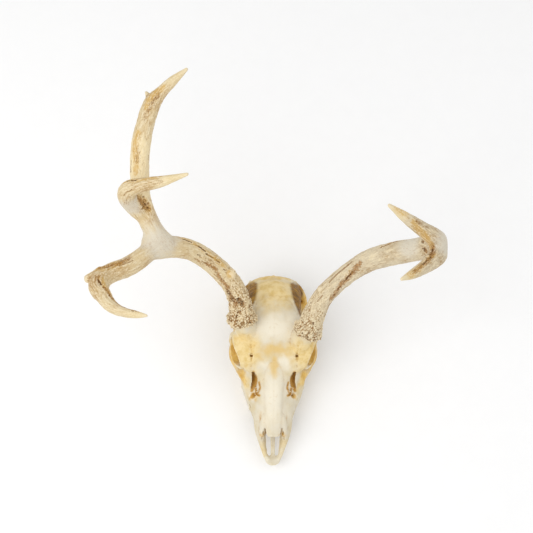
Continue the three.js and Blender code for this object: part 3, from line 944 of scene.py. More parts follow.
boneColours = {
    "bone": (223, 214, 193),
    "duller": (212, 197, 162),
    "tan": (239, 215, 158),
    "ochre": (221, 190, 120),
    "bleached": (241, 233, 213),
    "stain": (227, 194, 124),
    "gold": (234, 194, 100),
    "darkGold": (210, 162, 62),
    # temple wall strands: partly their stain, partly painted shade of the sideways-facing wall
    "strandDark": (80, 48, 3),
    "strandLight": (168, 118, 20),
    "strandWorn": (200, 152, 48),
    # brown of the cavities: partly stain, partly painted shade of the recesses
    "inside": (190, 138, 44),
    # painted shade for hollows and deep recesses
    "seam": (180, 138, 76),
    "hollowShade": (176, 132, 62),
    # painted highlight for raised edges
    "edge": (249, 240, 212),
    "freckle": (203, 170, 108),
}
boneGrain = {"cloud": 60.0, "patch": 115.0, "mottle": 260.0, "pores": 1300.0}  # spots to a metre
strandGrain = (0.06, 0.34, 0.12)


def boneFinish():
    tone = {name: fromSrgb(*colour) for name, colour in boneColours.items()}
    finish = Finish("dry bone", Specular_IOR_Level=0.22)
    where = finish.place()
    cloud = finish.speckle(where, boneGrain["cloud"], 4.0)
    patch = finish.speckle(where, boneGrain["patch"], 3.0, 0.6)
    mottle = finish.speckle(where, boneGrain["mottle"], 4.0, 0.6)
    pores = finish.speckle(where, boneGrain["pores"], 2.0)
    sway = (cloud - 0.5) * 0.7 + (mottle - 0.5) * 0.4
    colour = finish.blend(tone["bone"], tone["duller"], finish.ranged(cloud, 0.35, 0.7))
    tan = finish.ranged(finish.attribute("tan") + sway, 0.0, 1.0)
    ochre = finish.blend(tone["tan"], tone["ochre"], finish.ranged(patch, 0.34, 0.72))
    colour = finish.blend(colour, ochre, tan)
    bleach = finish.ranged(finish.attribute("bleach") + sway * 0.8, 0.08, 0.95)
    colour = finish.blend(colour, tone["bleached"], bleach * 0.95)
    stain = finish.ranged(finish.attribute("stain") + sway * 0.8, 0.1, 1.0)
    colour = finish.blend(colour, tone["stain"], stain * 0.85)
    amber = finish.ranged(finish.attribute("amber") + sway * 0.8, 0.15, 0.95)
    gold = finish.blend(tone["gold"], tone["darkGold"], finish.ranged(patch, 0.35, 0.65))
    colour = finish.blend(colour, gold, amber * 0.92)
    along = finish.stretched(finish.attribute("strand", "Vector"), strandGrain)
    strand = finish.speckle(along, 1.0, 6.0, 0.65)
    strands = finish.blend(tone["strandDark"], tone["strandLight"], finish.ranged(strand, 0.3, 0.72))
    strands = finish.blend(strands, tone["strandWorn"], finish.ranged(cloud, 0.48, 0.75) * 0.5)
    # temple wall: partly stain of the strands, partly painted shade of the wall
    templeStainAndShade = finish.ranged(finish.attribute("templeStainAndShade") + sway * 0.9, 0.1, 1.0)
    colour = finish.blend(colour, strands, templeStainAndShade * 0.95)
    # nose passage, slit walls, eye socket and darker spots: partly brown stain, partly painted shade of the
    # recesses
    inside = finish.attribute("inside") + finish.attribute("socket") * 0.4 + finish.attribute("dark")
    colour = finish.blend(colour, tone["inside"], (inside * 0.9).clipped())
    seam = finish.attribute("suture") * finish.ranged(mottle, 0.25, 0.65, 0.2, 1.0)
    colour = finish.blend(colour, tone["seam"], (seam * 0.75).clipped())
    hollow = finish.attribute("hollow")
    # painted shade in the hollows and the deepest recesses
    hollowShade = finish.ranged(hollow, 0.3, 1.0) * 0.8 + finish.ranged(finish.attribute("deep"), 0.35, 1.0)
    colour = finish.blend(colour, tone["hollowShade"], (hollowShade * 0.55).clipped())
    # painted highlight on raised edges, kept off the temple wall
    edge = finish.ranged(hollow * -1.0, 0.25, 1.0)
    colour = finish.blend(colour, tone["edge"], edge * (1.0 - templeStainAndShade) * 0.4)
    freckle = finish.ranged(mottle, 0.54, 0.8) * finish.ranged(cloud, 0.3, 0.7, 0.3, 1.0)
    colour = finish.blend(colour, tone["freckle"], freckle * 0.4)
    roughness = finish.ranged(mottle, 0.3, 0.7, 0.44, 0.64) + finish.attribute("suture") * 0.1
    finish.cover(colour, roughness)
    finish.bump(mottle * 0.6 + pores * 0.4, 0.0006, 0.6)
    return finish.material


def makeSkull():
    bm = bmesh.new()
    for build in (faceBodies, nasalRoof, noseBones, browBodies, braincaseBodies, cheekBodies, socketRims):
        build(bm)
    piece = addPiece("skull", bm)
    fuse(piece, skull["voxel"], 2)
    bm = bmesh.new()
    cutOpenings(bm, piece)
    cutter = addPiece("openings", bm)
    fuse(cutter, skull["voxel"])
    cutAway(piece, cutter)
    bm = bmesh.new()
    bm.from_mesh(piece.data)
    innerNose(bm)
    noseBones(bm)
    bm.to_mesh(piece.data)
    bm.free()
    fuse(piece, skull["voxel"], skull["easing"])
    easeSteps(Clay(piece))
    carveDetail(Clay(piece))
    roughenBone(Clay(piece))
    colourBone(Clay(piece))
    thinOut(piece, skull["triangles"])
    finishPiece(piece, boneFinish())
    return piece


def finishPiece(piece, material):
    piece.data.transform(toFrame)
    piece.data.materials.clear()
    piece.data.materials.append(material)
    piece.data.shade_smooth()


# cheek teeth

teeth = {
    "lengths": (10.5, 11, 10.5, 13, 14.5, 15),
    "widths": (9.5, 11.5, 13, 15, 16, 15),
    "row": [(27, 79, 0, 1), (33, 120, 0, 1), (32.5, 154, 0, 1)],
    "rootUp": 22,
    "cusps": 1.5,  # how far the valleys between the cusps stand up from the floor
    "around": 48,
    "tight": 1.06,  # how much of its place along the row a tooth fills
    "ribs": 0.075,
    "lobes": (0.02, 0.08),  # of a premolar and of a molar
    "chewUp": 0.2,  # the chewing face's height, and how far up its valleys fade out
    "chewFade": 3.0,
}
crownLevels = [  # width and height of a crown's rings, down its outside and over its chewing face
    (0.84, teeth["rootUp"]),
    (0.9, 14),
    (0.97, 8),
    (1.0, 3),
    (0.99, 1.0),
    (0.95, 0.15),
    (0.88, 0.25),
    (0.8, 1.3),
    (0.66, 2.0),
    (0.55, 1.2),
    (0.44, 0.7),
    (0.34, 1.6),
    (0.2, 2.4),
    (0.08, 2.4),
]


def toothRing(centre, ahead, side, long, wide, size, height, molar):
    # one level of a crown: two lobes on the tongue side, three ribs on the cheek side
    angles = np.linspace(0, 2 * math.pi, teeth["around"], endpoint=False)
    forwards, sideways = np.cos(angles), np.sin(angles)
    ribs = teeth["ribs"] * np.cos(6 * angles) * (sideways > 0)
    lobes = 1 + teeth["lobes"][molar] * np.cos(4 * angles) * (sideways < 0) + ribs
    box = np.abs(forwards) ** 4 + np.abs(sideways) ** 3
    reach = lobes / box ** (1 / 3.4)
    outwards = np.array([ahead[1], -ahead[0], 0.0]) * side
    ring = centre + size * np.outer(forwards * reach * long / 2, ahead)
    ring = ring + size * np.outer(sideways * reach * wide / 2, outwards)
    valley = 0.5 + 0.5 * np.cos(2 * math.pi * forwards) if molar else 0.5 - 0.5 * np.cos(math.pi * forwards)
    chewing = max(0.0, 1 - abs(height - teeth["chewUp"]) / teeth["chewFade"])
    ring[:, 2] = height + teeth["cusps"] * chewing * valley
    return ring


def makeTeeth():
    bm = bmesh.new()
    line = pathThrough(teeth["row"], 0.5)[:, :3]
    ahead = np.gradient(line, axis=0)
    ahead /= np.linalg.norm(ahead, axis=1)[:, None]
    whole = sum(teeth["lengths"])
    for side in bothSides:
        used = 0
        for number, (long, wide) in enumerate(zip(teeth["lengths"], teeth["widths"])):
            step = round((used + long / 2) / whole * (len(line) - 1))
            used += long
            centre = line[step] * np.array([side, 1, 0])
            forward = ahead[step] * np.array([side, 1, 0])
            rings = [
                toothRing(centre, forward, side, long * teeth["tight"], wide, size, height, number > 2)
                for size, height in crownLevels
            ]
            skinRings(bm, rings)
    piece = addPiece("cheek_teeth", bm)
    smooth = piece.modifiers.new("round", "SUBSURF")
    smooth.levels = smooth.render_levels = 1
    applyModifiers(piece)
    clay = Clay(piece)
    clay.layers["height"] = clay.points[:, 2].copy()
    clay.layers["hollow"] = np.clip(clay.hollows(6) / 0.4, -1, 1)
    clay.store()
    finishPiece(piece, toothFinish())
    print("teeth:", len(piece.data.polygons), "faces")
    return piece


toothColours = {
    "ivory": (240, 229, 200),
    "streak": (218, 196, 148),
    "neck": (168, 132, 84),
    "worn": (206, 176, 124),
    # painted shade for the crevices of the crowns
    "hollow": (84, 56, 32),
}


def toothFinish():
    tone = {name: fromSrgb(*colour) for name, colour in toothColours.items()}
    finish = Finish("tooth enamel", Specular_IOR_Level=0.5, Coat_Roughness=0.25)
    where = finish.place()
    streak = finish.speckle(finish.stretched(where, (1.0, 1.0, 0.25)), 700.0, 3.0)
    colour = finish.blend(tone["ivory"], tone["streak"], finish.ranged(streak, 0.35, 0.7))
    neck = finish.ranged(finish.attribute("height"), 5.0, 13.0)
    colour = finish.blend(colour, tone["neck"], neck * 0.7)
    worn = finish.ranged(finish.attribute("height"), 2.6, 0.9)
    colour = finish.blend(colour, tone["worn"], worn * 0.5)
    # painted shade in the crevices of the crowns
    colour = finish.blend(colour, tone["hollow"], finish.ranged(finish.attribute("hollow"), 0.1, 0.8))
    finish.cover(colour, finish.ranged(streak, 0.3, 0.7, 0.26, 0.42))
    finish.bump(streak, 0.0003, 0.4)
    return finish.material


# antlers. A knot is x, y, z and radius

rightAntler = {
    "name": "right_antler",
    "nodes": (
        "right_antler_beam",
        "right_antler_rear_branch",
        "right_antler_side_tine",
        "right_antler_front_branch",
    ),
    "limbs": {
        "beam": [
            (-43, 176, 120, 16),
            (-44, 183, 127, 15.8),
            (-47, 199, 139, 14.4),
            (-58, 217, 155, 13.6),
            (-76, 232, 172, 13.2),
            (-94, 241, 190, 12.9),
            (-111, 244, 208, 13),
            (-130, 242, 224, 14),
            (-151, 236, 238, 15.5),
        ],
        "rear": [
            (-140, 242, 234, 14),
            (-152, 254, 246, 13),
            (-162, 273, 256, 12.2),
            (-168, 290, 262, 12),
            (-170, 312, 268, 11.7),
            (-170, 336, 276, 11.8),
            (-168, 358, 285, 11.8),
            (-162, 380, 296, 11),
            (-154, 399, 307, 10.4),
            (-142, 411, 315, 7.4),
            (-130, 420, 323, 6.2),
            (-112, 432, 333, 2),
        ],
        "spur": [(-154, 399, 305, 6), (-159, 407, 308, 4), (-162.5, 412, 309.5, 1.6)],
        "side": [
            (-162, 268, 254, 9),
            (-175, 279, 270, 12.4),
            (-183, 285, 288, 12.2),
            (-179, 288, 303, 10.8),
            (-165, 289, 313, 8.8),
            (-141, 290, 323, 6.8),
            (-109, 295, 335, 2),
        ],
        "front": [
            (-151, 239, 238, 12),
            (-166, 221, 246, 12.3),
            (-183, 206, 254, 12.2),
            (-201, 196, 262, 12),
            (-212, 186, 269, 12.6),
            (-214, 173, 277, 12),
            (-207, 160, 286, 9.7),
            (-197, 145, 297, 7.7),
            (-183, 135, 308, 5.9),
            (-167, 129, 318, 4.6),
            (-153, 125, 327, 1.8),
        ],
        "knob": [(-211, 193, 268, 9.5), (-221, 188, 270, 7.4), (-229.5, 185, 272, 4.8)],
    },
    "web": [(-132, 242, 227, 12.5), (-150, 242, 238, 15), (-160, 241, 244, 12.5)],
    "tips": [(-112, 432, 333), (-109, 295, 335), (-153, 125, 327)],
    "tones": ((218, 197, 154), (201, 172, 124)),
    "smooth": [((-150, 243, 240), 34), ((-180, 280, 280), 20)],
    "cream": [((-170, 322, 276), 36), ((-168, 345, 284), 26), ((-169, 300, 268), 22), ((-120, 293, 331), 30)],
    # spongy patches: path, width, depth and number of pores
    "pits": [([(-171, 290, 287), (-167, 284, 278), (-160, 279, 270)], 8.5, 3.0, 44),
             ([(-60, 202, 157), (-52, 190, 149)], 6.0, 1.4, 22),
             ([(-46, 194, 153), (-43, 189, 149)], 4.4, 2.8, 22),
             ([(-55, 195, 152)], 3.2, 2.2, 10),
             ([(-59, 195, 147), (-62, 207, 161)], 3.6, 1.0, 14),
             ([(-46, 180, 144)], 4.5, 1.6, 10)],
    # short dark furrows
    "dashes": [[(-90, 240, 203), (-85, 239, 199), (-80, 238, 194)],
               [(-76, 236, 190), (-72, 234, 186)],
               [(-72, 229, 183), (-66, 226, 177)],
               [(-103, 238, 213), (-97, 236, 207)],
               [(-99, 247, 213), (-90, 243, 204)],
               [(-118, 251, 228), (-108, 249, 220)],
               [(-94, 231, 200), (-86, 227, 190)],
               [(-181, 294, 312), (-172, 293, 317), (-164, 292, 319)],
               [(-208, 199, 275), (-200, 203, 272)],
               [(-214, 180, 286), (-209, 170, 290)],
               [(-199, 159, 296), (-190, 149, 303)]],
    # golden bands: path and width
    "golds": [([(-116, 252, 226), (-106, 249, 219), (-98, 246, 212), (-89, 242, 203), (-73, 234, 187),
                (-65, 231, 179)], 4.5),
              ([(-213, 197, 275), (-204, 201, 272), (-195, 205, 269)], 7.0),
              ([(-212, 182, 284), (-205, 169, 290), (-197, 157, 295), (-179, 140, 309),
                (-161, 131, 322)], 5.0),
              ([(-188, 295, 302), (-180, 294, 313), (-170, 293, 318), (-142, 295, 327)], 4.0),
              ([(-171, 364, 298), (-174, 355, 294), (-174, 335, 287), (-174, 318, 280)], 5.0),
              ([(-161, 390, 312), (-156, 401, 317), (-140, 413, 324)], 4.5),
              ([(-171, 290, 287), (-167, 284, 278), (-160, 279, 270)], 9.0),
              ([(-58, 222, 176)], 8.0)],
    # brown streaks: path, width and strength
    "streaks": [([(-61, 207, 163), (-69, 215, 171), (-79, 226, 187), (-89, 230, 194)], 4.0, 1.0),
                ([(-78, 231, 186), (-94, 238, 203), (-108, 243, 216)], 3.0, 0.8),
                ([(-103, 233, 207), (-93, 228, 195)], 2.6, 0.8),
                ([(-72, 243, 180), (-90, 252, 197)], 2.4, 0.7),
                ([(-214, 198, 276), (-204, 202, 273), (-192, 206, 269), (-180, 214, 262)], 5.0, 0.9),
                ([(-216, 184, 284), (-211, 172, 288)], 5.0, 0.9),
                ([(-205, 169, 291), (-197, 157, 297), (-182, 142, 309), (-166, 133, 321)], 3.4, 1.0),
                ([(-172, 330, 287), (-171, 345, 291)], 5.5, 0.6),
                ([(-163, 378, 305), (-156, 392, 314), (-146, 404, 321)], 4.5, 0.7),
                ([(-184, 276, 291), (-178, 282, 306), (-160, 286, 318), (-140, 288, 328)], 3.6, 0.8)],
    "bumps": [((-57, 223, 172), 9.5, 6.0), ((-150, 213, 252), 6, 1.2), ((-188, 190, 262), 7, 1.0)],
    "pearly": 92,  # mm of the beam that is set with pearls
    "gutters": 34,
    "seed": 4,
}
leftAntler = {
    "name": "left_antler",
    "nodes": ("left_antler_beam", "left_antler_rear_tine", "left_antler_front_tine"),
    "limbs": {
        "beam": [
            (43, 162, 118, 16.5),
            (46, 168, 125, 16.2),
            (51, 181, 137, 14.8),
            (59, 195, 153, 13.2),
            (73, 208, 170, 12.7),
            (93, 221, 188, 12.8),
            (117, 231, 208, 13.9),
            (147, 234, 228, 14.7),
            (170, 234, 243, 14.5),
            (187, 233, 258, 14.5),
        ],
        "rear": [
            (187, 233, 260, 12.5),
            (192, 234, 273, 13),
            (186, 236, 285, 11.6),
            (171, 241, 298, 9),
            (150, 248, 317, 6.8),
            (126, 257, 338, 2.2),
        ],
        "front": [
            (187, 231, 259, 12.5),
            (192, 220, 271, 12.5),
            (186, 209, 283, 11),
            (172, 195, 296, 8.2),
            (155, 182, 308, 5.8),
            (140, 172, 320, 2),
        ],
    },
    "web": [(190, 240, 269, 11), (193, 228, 270, 12.5), (190, 215, 272, 10)],
    "tips": [(126, 257, 338), (140, 172, 320)],
    "tones": ((212, 197, 167), (191, 171, 137)),
    "smooth": [((200, 230, 282), 22), ((196, 240, 268), 16), ((162, 236, 250), 18)],
    "cream": [((140, 256, 328), 18), ((146, 174, 318), 14)],
    "pits": [([(176, 240, 266), (179, 230, 264), (178, 219, 271)], 3.6, 1.8, 16),
             ([(177, 205, 299), (184, 216, 290)], 4.5, 1.4, 18)],
    "dashes": [[(181, 214, 291), (176, 206, 298)],
               [(178, 209, 297), (172, 200, 302)],
               [(175, 203, 301), (168, 195, 305)],
               [(184, 221, 284), (180, 211, 294)],
               [(176, 240, 266), (178, 232, 266), (177, 225, 265)],
               [(128, 241, 231), (137, 244, 235), (147, 246, 239)],
               [(74, 196, 172), (82, 205, 184)],
               [(86, 209, 190), (95, 217, 203)],
               [(66, 197, 163), (73, 204, 174)]],
    "golds": [([(157, 243, 318), (163, 238, 311), (170, 234, 302), (177, 229, 293), (184, 224, 281)], 5.5),
              ([(182, 213, 293), (175, 203, 300), (168, 195, 305), (160, 187, 311), (150, 178, 316)], 5.0),
              ([(135, 255, 333), (148, 249, 322)], 6.0),
              ([(80, 207, 182), (94, 219, 201)], 4.0)],
    "streaks": [([(70, 192, 167), (81, 204, 184), (92, 213, 199), (104, 225, 213)], 4.6, 1.0),
                ([(88, 216, 201), (103, 227, 214)], 2.4, 0.8),
                ([(127, 240, 230), (146, 246, 238), (158, 246, 246)], 1.6, 0.9),
                ([(184, 222, 285), (178, 206, 299), (165, 191, 310), (156, 183, 316)], 4.6, 1.0),
                ([(184, 240, 287), (172, 242, 305), (160, 246, 316)], 3.6, 0.8),
                ([(187, 239, 280), (179, 238, 275)], 5.0, 0.7)],
    "bumps": [((57, 205, 169), 6.5, 2.8), ((186, 228, 286), 7, -1.5)],
    "pearly": 76,
    "gutters": 30,
    "seed": 9,
}
horn = {
    "voxel": 0.85,
    "easing": 6,
    "triangles": 190000,
    "railStep": 2.0,
    "burrBeads": 26,
    "burrLip": 1.6,
    "forkEasing": 90,  # rounds of smoothing at the forks
    "pearlSize": 3.3,
    "pearlHeight": 1.7,
    "pores": 120,
    "gutterLong": (12, 46),
    "gutterWide": (1.2, 2.6),
    "gutterDeep": (0.2, 0.7),
    "dashWide": 1.9,
    "dashDeep": 1.5,
    "limbGap": 100.0,  # keeps the grain of two limbs apart
    "beamSpare": 20,  # how far past the beam its pearls may reach
}


def burr(bm, foot, ahead, radius, chance):
    # a rough cushion of beads round the foot of an antler
    ahead = Vector(ahead).normalized()
    first = ahead.orthogonal().normalized()
    second = ahead.cross(first)
    for ringUp, lip in ((-1.0, 1.0), (2.0, 1.25), (6.5, 0.4)):
        for number in range(horn["burrBeads"]):
            angle = 2 * math.pi * (number + chance.uniform(-0.5, 0.5)) / horn["burrBeads"]
            out = radius - 0.6 + horn["burrLip"] * lip + chance.uniform(-1.5, 1.0)
            rise = ringUp + chance.uniform(-2.4, 2.4)
            spot = Vector(foot) + ahead * rise + (first * math.cos(angle) + second * math.sin(angle)) * out
            size = chance.uniform(1.6, 3.9)
            radii = (size, size * chance.uniform(0.7, 1.3), size)
            blob(bm, spot, radii, turn=chance.uniform(0, 180), detail=2)
    disc = Matrix.Translation(Vector(foot)) @ ahead.to_track_quat("Z", "Y").to_matrix().to_4x4()
    shape = disc @ Matrix.Diagonal((radius + 1.0, radius + 1.0, radius * 0.36, 1))
    bmesh.ops.create_icosphere(bm, subdivisions=3, radius=1, matrix=shape)


def flowOf(clay, rails):
    # for each vertex: the nearest rail step, and its place round and along the antler
    steps = [(name, *step) for name, rail in rails.items() for step in rail]
    tree = kdtree.KDTree(len(steps))
    lengths, travelled, last = [], 0.0, None
    for index, (name, centre, *_) in enumerate(steps):
        tree.insert(centre, index)
        sameLimb = last is not None and last[0] == name
        travelled += np.linalg.norm(centre - last[1]) if sameLimb else horn["limbGap"]
        lengths.append(travelled)
        last = (name, centre)
    tree.balance()
    nearest = np.array([tree.find(point)[1] for point in clay.points])
    centres, ahead, lift, beside = (np.array([s[k] for s in steps])[nearest] for k in (1, 2, 3, 4))
    offset = clay.points - centres
    angle = np.arctan2((offset * beside).sum(1), (offset * lift).sum(1))
    along = np.array(lengths)[nearest] + (offset * ahead).sum(1)
    return np.column_stack([np.cos(angle) * 10, np.sin(angle) * 10, along])


def carveGutters(clay, rails, details, chance):
    # long shallow grooves that run with the beam, kept out of the smooth forks
    tree = kdtree.KDTree(clay.count)
    for index, point in enumerate(clay.points):
        tree.insert(point, index)
    tree.balance()
    names = [name for name in rails if name not in ("spur", "knob")]
    sizes = np.array([len(rails[name]) for name in names], float)
    for _ in range(details["gutters"]):
        rail = rails[chance.choice(names, p=sizes / sizes.sum())]
        steps = int(chance.uniform(*horn["gutterLong"]) / horn["railStep"])
        start = int(chance.integers(0, max(1, len(rail) - steps // 2)))
        angle, wander = chance.uniform(0, 2 * math.pi), chance.uniform(-0.02, 0.02)
        spots = []
        for centre, _, lift, beside, radius in rail[start:start + steps]:
            angle += wander
            surface = centre + radius * (math.cos(angle) * lift + math.sin(angle) * beside)
            spots.append(tree.find(surface)[0])
        if len(spots) < 4:
            continue
        width = chance.uniform(*horn["gutterWide"])
        depth = chance.uniform(*horn["gutterDeep"])
        path = np.array(spots)
        if len(spots) > 9:
            path = pathThrough([(*spot, 1) for spot in spots[::3]], 0.9)[:, :3]
        found, strength = clay.near(path, width)
        strength = strength * clay.layers["rugged"][found]
        clay.points[found] -= clay.normals[found] * (depth * strength)[:, None]
        stain = clay.layer("groove")
        stain[found] = np.maximum(stain[found], strength * chance.uniform(0.3, 1.0))


def setPearls(clay, details, chance, fromFoot):
    # beads with cracks between them on the lower beam, and pores among them
    cell = horn["pearlSize"]
    fade = ramp(fromFoot, details["pearly"], 8) * clay.layers["beam"]
    patchy = np.clip(0.75 + 1.1 * fuzz(clay.points, 8.0, details["seed"]), 0.2, 1)
    strength = np.clip(fade * 1.5, 0, 1) * patchy
    chosen = np.flatnonzero(strength > 0.03)
    bent = clay.points[chosen] + 1.1 * fuzz(clay.points[chosen], 4.0, details["seed"] + 3)[:, None]
    gaps = np.array([noise.voronoi(Vector(spot / cell))[0][:2] for spot in bent])
    mound = ramp(np.sqrt(gaps[:, 1]) - np.sqrt(gaps[:, 0]), 0, 0.32)
    lift = (mound - 0.62) * horn["pearlHeight"] * strength[chosen]
    clay.points[chosen] += clay.normals[chosen] * lift[:, None]
    crack = clay.layer("crack")
    broken = np.clip(0.7 + 1.2 * fuzz(clay.points[chosen], 5.0, 21), 0, 1)
    crack[chosen] = (1 - mound) * strength[chosen] * broken
    clay.save()
    onBeam = np.flatnonzero(fade > 0)
    for spot in chance.choice(onBeam, horn["pores"], p=fade[onBeam] / fade[onBeam].sum()):
        addPore(clay, clay.points[spot], chance)


def addPore(clay, spot, chance):
    wide = chance.uniform(1.3, 2.5)
    clay.press([spot], wide, chance.uniform(0.8, 2.0))
    clay.paint("pore", [spot], wide * 1.1, chance.uniform(0.5, 1.0))


def addPatches(clay, details, chance):
    # spongy patches, furrows, golden bands and brown streaks in their places
    for path, wide, deep, count in details["pits"]:
        line = wandering(path, 1.0, 1.6, details["seed"]) if len(path) > 1 else np.array(path, float)
        clay.press(line, wide, deep)
        clay.paint("stain", line, wide * 1.3, 1.0)
        for spot in chance.choice(len(line), count):
            found, _ = clay.near(line[spot] + chance.uniform(-wide, wide, 3) * 0.75, 2.5)
            if len(found):
                addPore(clay, clay.points[found[0]], chance)
    for path in details["dashes"]:
        line = wandering(path, 0.8, 0.7, details["seed"])
        clay.press(line, horn["dashWide"], horn["dashDeep"])
        clay.paint("pore", line, horn["dashWide"] * 1.1, 1.0)
    for path, wide in details["golds"]:
        line = wandering(path, 1.2, 1.5, details["seed"]) if len(path) > 1 else path
        clay.paint("gold", line, wide * 1.4, 1.0)
    for path, wide, strength in details["streaks"]:
        line = wandering(path, 1.0, 1.8, details["seed"])
        clay.press(line, wide * 0.7, 0.5)
        clay.paint("stain", line, wide * 1.5, strength)
    clay.save()


def makeAntler(details):
    chance = np.random.default_rng(details["seed"])
    bm = bmesh.new()
    for knots in details["limbs"].values():
        limb(bm, knots, around=28, spacing=2.5)
    limb(bm, details["web"], around=24)
    rails = {}
    for name, knots in details["limbs"].items():
        rails[name] = railAlong(knots, horn["railStep"], (0, 0, 1))
    foot, ahead, _, _, radius = rails["beam"][0]
    burr(bm, foot, ahead, radius, chance)
    piece = addPiece(details["name"], bm)
    fuse(piece, horn["voxel"], horn["easing"])
    clay = Clay(piece)
    clay.relax(softSpots(clay, details["smooth"]), horn["forkEasing"])
    flow = flowOf(clay, rails)
    fromFoot = flow[:, 2] - flow[:, 2].min()
    beamLong = len(rails["beam"]) * horn["railStep"] + horn["beamSpare"]
    clay.layers["beam"] = (fromFoot < beamLong).astype(float)
    clay.layers["smooth"] = softSpots(clay, details["smooth"])
    clay.layers["cream"] = softSpots(clay, details["cream"])
    clay.layers["tip"] = softSpots(clay, [(end, 34) for end in details["tips"]])
    offForks = np.clip(1 - 1.1 * clay.layers["smooth"], 0, 1)
    clay.layers["rugged"] = offForks * np.clip(1 - clay.layers["tip"], 0, 1)
    for centre, wide, height in details["bumps"]:
        clay.press([centre], wide, -height)
    clay.save()
    carveGutters(clay, rails, details, chance)
    lengthwise = flow * np.array([0.4, 0.4, 0.13])
    ridges = fuzz(lengthwise, 1.0, details["seed"]) + 0.6 * fuzz(lengthwise * 2.6, 1.0, details["seed"] + 5)
    clay.points += clay.normals * (ridges * 0.5 * (0.2 + 0.8 * clay.layers["rugged"]))[:, None]
    clay.save()
    setPearls(clay, details, chance, fromFoot)
    addPatches(clay, details, chance)
    clay.roughen(6.0, 0.35, 13, clay.layers["rugged"])
    clay.roughen(1.6, 0.16, 3)
    clay.save()
    clay.layers["flow"] = flow
    clay.layers["foot"] = ramp(fromFoot, details["pearly"] + 20, 0) * clay.layers["beam"]
    clay.layers["hollow"] = np.clip(clay.hollows(5) / 0.35, -1, 1)
    clay.store()
    thinOut(piece, horn["triangles"])
    finishPiece(piece, antlerFinish(details))
    return piece


def softSpots(clay, marks):
    # 1 at each centre, fading out over its width
    spread = np.zeros(clay.count)
    for centre, wide in marks:
        gap = np.linalg.norm(clay.points - centre, axis=1) / wide
        np.maximum(spread, np.exp(-gap**2), out=spread)
    return spread


antlerColours = {
    "cream": (231, 215, 180),
    "fork": (219, 212, 195),
    "yellow": (241, 223, 180),
    "tip": (224, 202, 152),
    "foot": (230, 211, 172),
    "brown": (168, 126, 68),
    "gold": (208, 164, 76),
    "freckle": (154, 106, 46),
    # painted shade for hollows
    "hollowShade": (154, 112, 56),
    # painted highlight for raised bits
    "raisedHighlight": (243, 229, 196),
    "rust": (184, 130, 58),
    "darkRust": (116, 74, 28),
    "groove": (138, 94, 40),
    "crack": (146, 102, 46),
    "pore": (92, 58, 24),
}
antlerGrain = {"cloud": 42.0, "grain": 850.0}  # spots to a metre
streakGrain = (0.3, 0.3, 0.075)  # round, round and along the antler
fineGrain = (0.95, 0.95, 0.26)


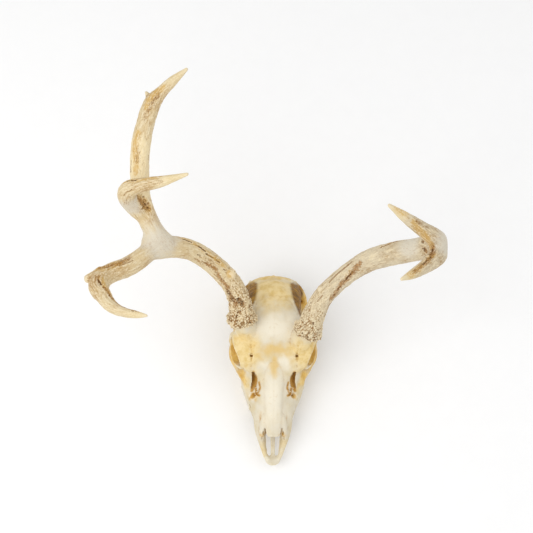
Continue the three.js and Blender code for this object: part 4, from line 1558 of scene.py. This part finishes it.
def antlerFinish(details):
    tone = {name: fromSrgb(*colour) for name, colour in antlerColours.items()}
    light, dark = (fromSrgb(*colour) for colour in details["tones"])
    finish = Finish(details["name"] + " surface", Specular_IOR_Level=0.35)
    where = finish.place()
    flow = finish.attribute("flow", "Vector")
    cloud = finish.speckle(where, antlerGrain["cloud"], 4.0)
    streak = finish.speckle(finish.stretched(flow, streakGrain), 1.0, 5.0, 0.65)
    fine = finish.speckle(finish.stretched(flow, fineGrain), 1.0, 4.0, 0.65)
    grain = finish.speckle(where, antlerGrain["grain"], 3.0, 0.6)
    rugged = finish.attribute("rugged")
    colour = finish.blend(light, dark, finish.ranged(cloud, 0.35, 0.68))
    colour = finish.blend(colour, tone["cream"], finish.ranged(streak, 0.46, 0.66) * 0.8)
    pale = finish.attribute("smooth") + (cloud - 0.5) * 0.8 + (streak - 0.5) * 0.6
    colour = finish.blend(colour, tone["fork"], finish.ranged(pale, 0.25, 0.85) * 0.85)
    creamy = finish.attribute("cream") + (cloud - 0.5) * 0.9 + (streak - 0.5) * 0.8
    cream = finish.ranged(creamy, 0.3, 0.8)
    colour = finish.blend(colour, tone["yellow"], cream * 0.85)
    tip = finish.ranged(finish.attribute("tip") + (cloud - 0.5) * 0.6, 0.2, 0.9)
    colour = finish.blend(colour, tone["tip"], tip * 0.8)
    foot = finish.attribute("foot")
    colour = finish.blend(colour, tone["foot"], foot * 0.6)
    brown = finish.ranged(fine * 0.6 + cloud * 0.4, 0.49, 0.64) * finish.ranged(rugged, 0.0, 0.8, 0.3, 1.0)
    colour = finish.blend(colour, tone["brown"], brown * (1.0 - cream * 0.7) * 0.6)
    broken = (fine - 0.5) * 2.6 + (grain - 0.5) * 1.6
    gold = finish.ranged(finish.attribute("gold") + broken * 0.35 + (cloud - 0.5) * 0.8, 0.15, 0.85)
    colour = finish.blend(colour, tone["gold"], gold * 0.65)
    freckle = finish.ranged(grain * 0.5 + fine * 0.5, 0.52, 0.64) * finish.ranged(foot, 0.0, 0.6, 0.3, 0.9)
    colour = finish.blend(colour, tone["freckle"], freckle * 0.6)
    # painted shade in the hollows
    hollowShade = finish.ranged(finish.attribute("hollow"), 0.1, 0.85)
    colour = finish.blend(colour, tone["hollowShade"], hollowShade * 0.7)
    # painted highlight on the raised bits
    raisedHighlight = finish.ranged(finish.attribute("hollow") * -1.0, 0.1, 0.8)
    colour = finish.blend(colour, tone["raisedHighlight"], raisedHighlight * 0.6)
    rust = finish.blend(tone["rust"], tone["darkRust"], finish.ranged(grain, 0.4, 0.6))
    stain = finish.ranged(finish.attribute("stain") * 0.85 + broken * 0.8, 0.3, 0.8)
    colour = finish.blend(colour, rust, stain * finish.attribute("stain") ** 0.5 * 0.85)
    groove = finish.ranged(finish.attribute("groove") + broken * 0.4, 0.25, 0.8)
    colour = finish.blend(colour, tone["groove"], groove * 0.75)
    crack = finish.ranged(finish.attribute("crack") + broken * 0.2, 0.25, 0.8)
    colour = finish.blend(colour, tone["crack"], crack * 0.75)
    pore = finish.ranged(finish.attribute("pore") + broken * 0.2, 0.25, 0.8)
    colour = finish.blend(colour, tone["pore"], pore * 0.85)
    roughness = finish.ranged(streak, 0.3, 0.7, 0.46, 0.66)
    finish.cover(colour, roughness)
    finish.bump(fine * 0.6 + grain * 0.4, 0.0008, 0.7)
    return finish.material


# the model

placeCamera()
lightStudio()
layFloor()
print("camera, light and floor placed")

skullPiece = makeSkull()
teethPiece = makeTeeth()
skullNodes = (
    "premaxilla",
    "upper_jaw",
    "nasal_bones",
    "forehead",
    "braincase",
    "right_cheek_arch",
    "left_cheek_arch",
)
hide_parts(*skullNodes)
for piece in (skullPiece, teethPiece):
    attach(piece, "root")

for details in (rightAntler, leftAntler):
    antlerPiece = makeAntler(details)
    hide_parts(*details["nodes"])
    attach(antlerPiece, "root")
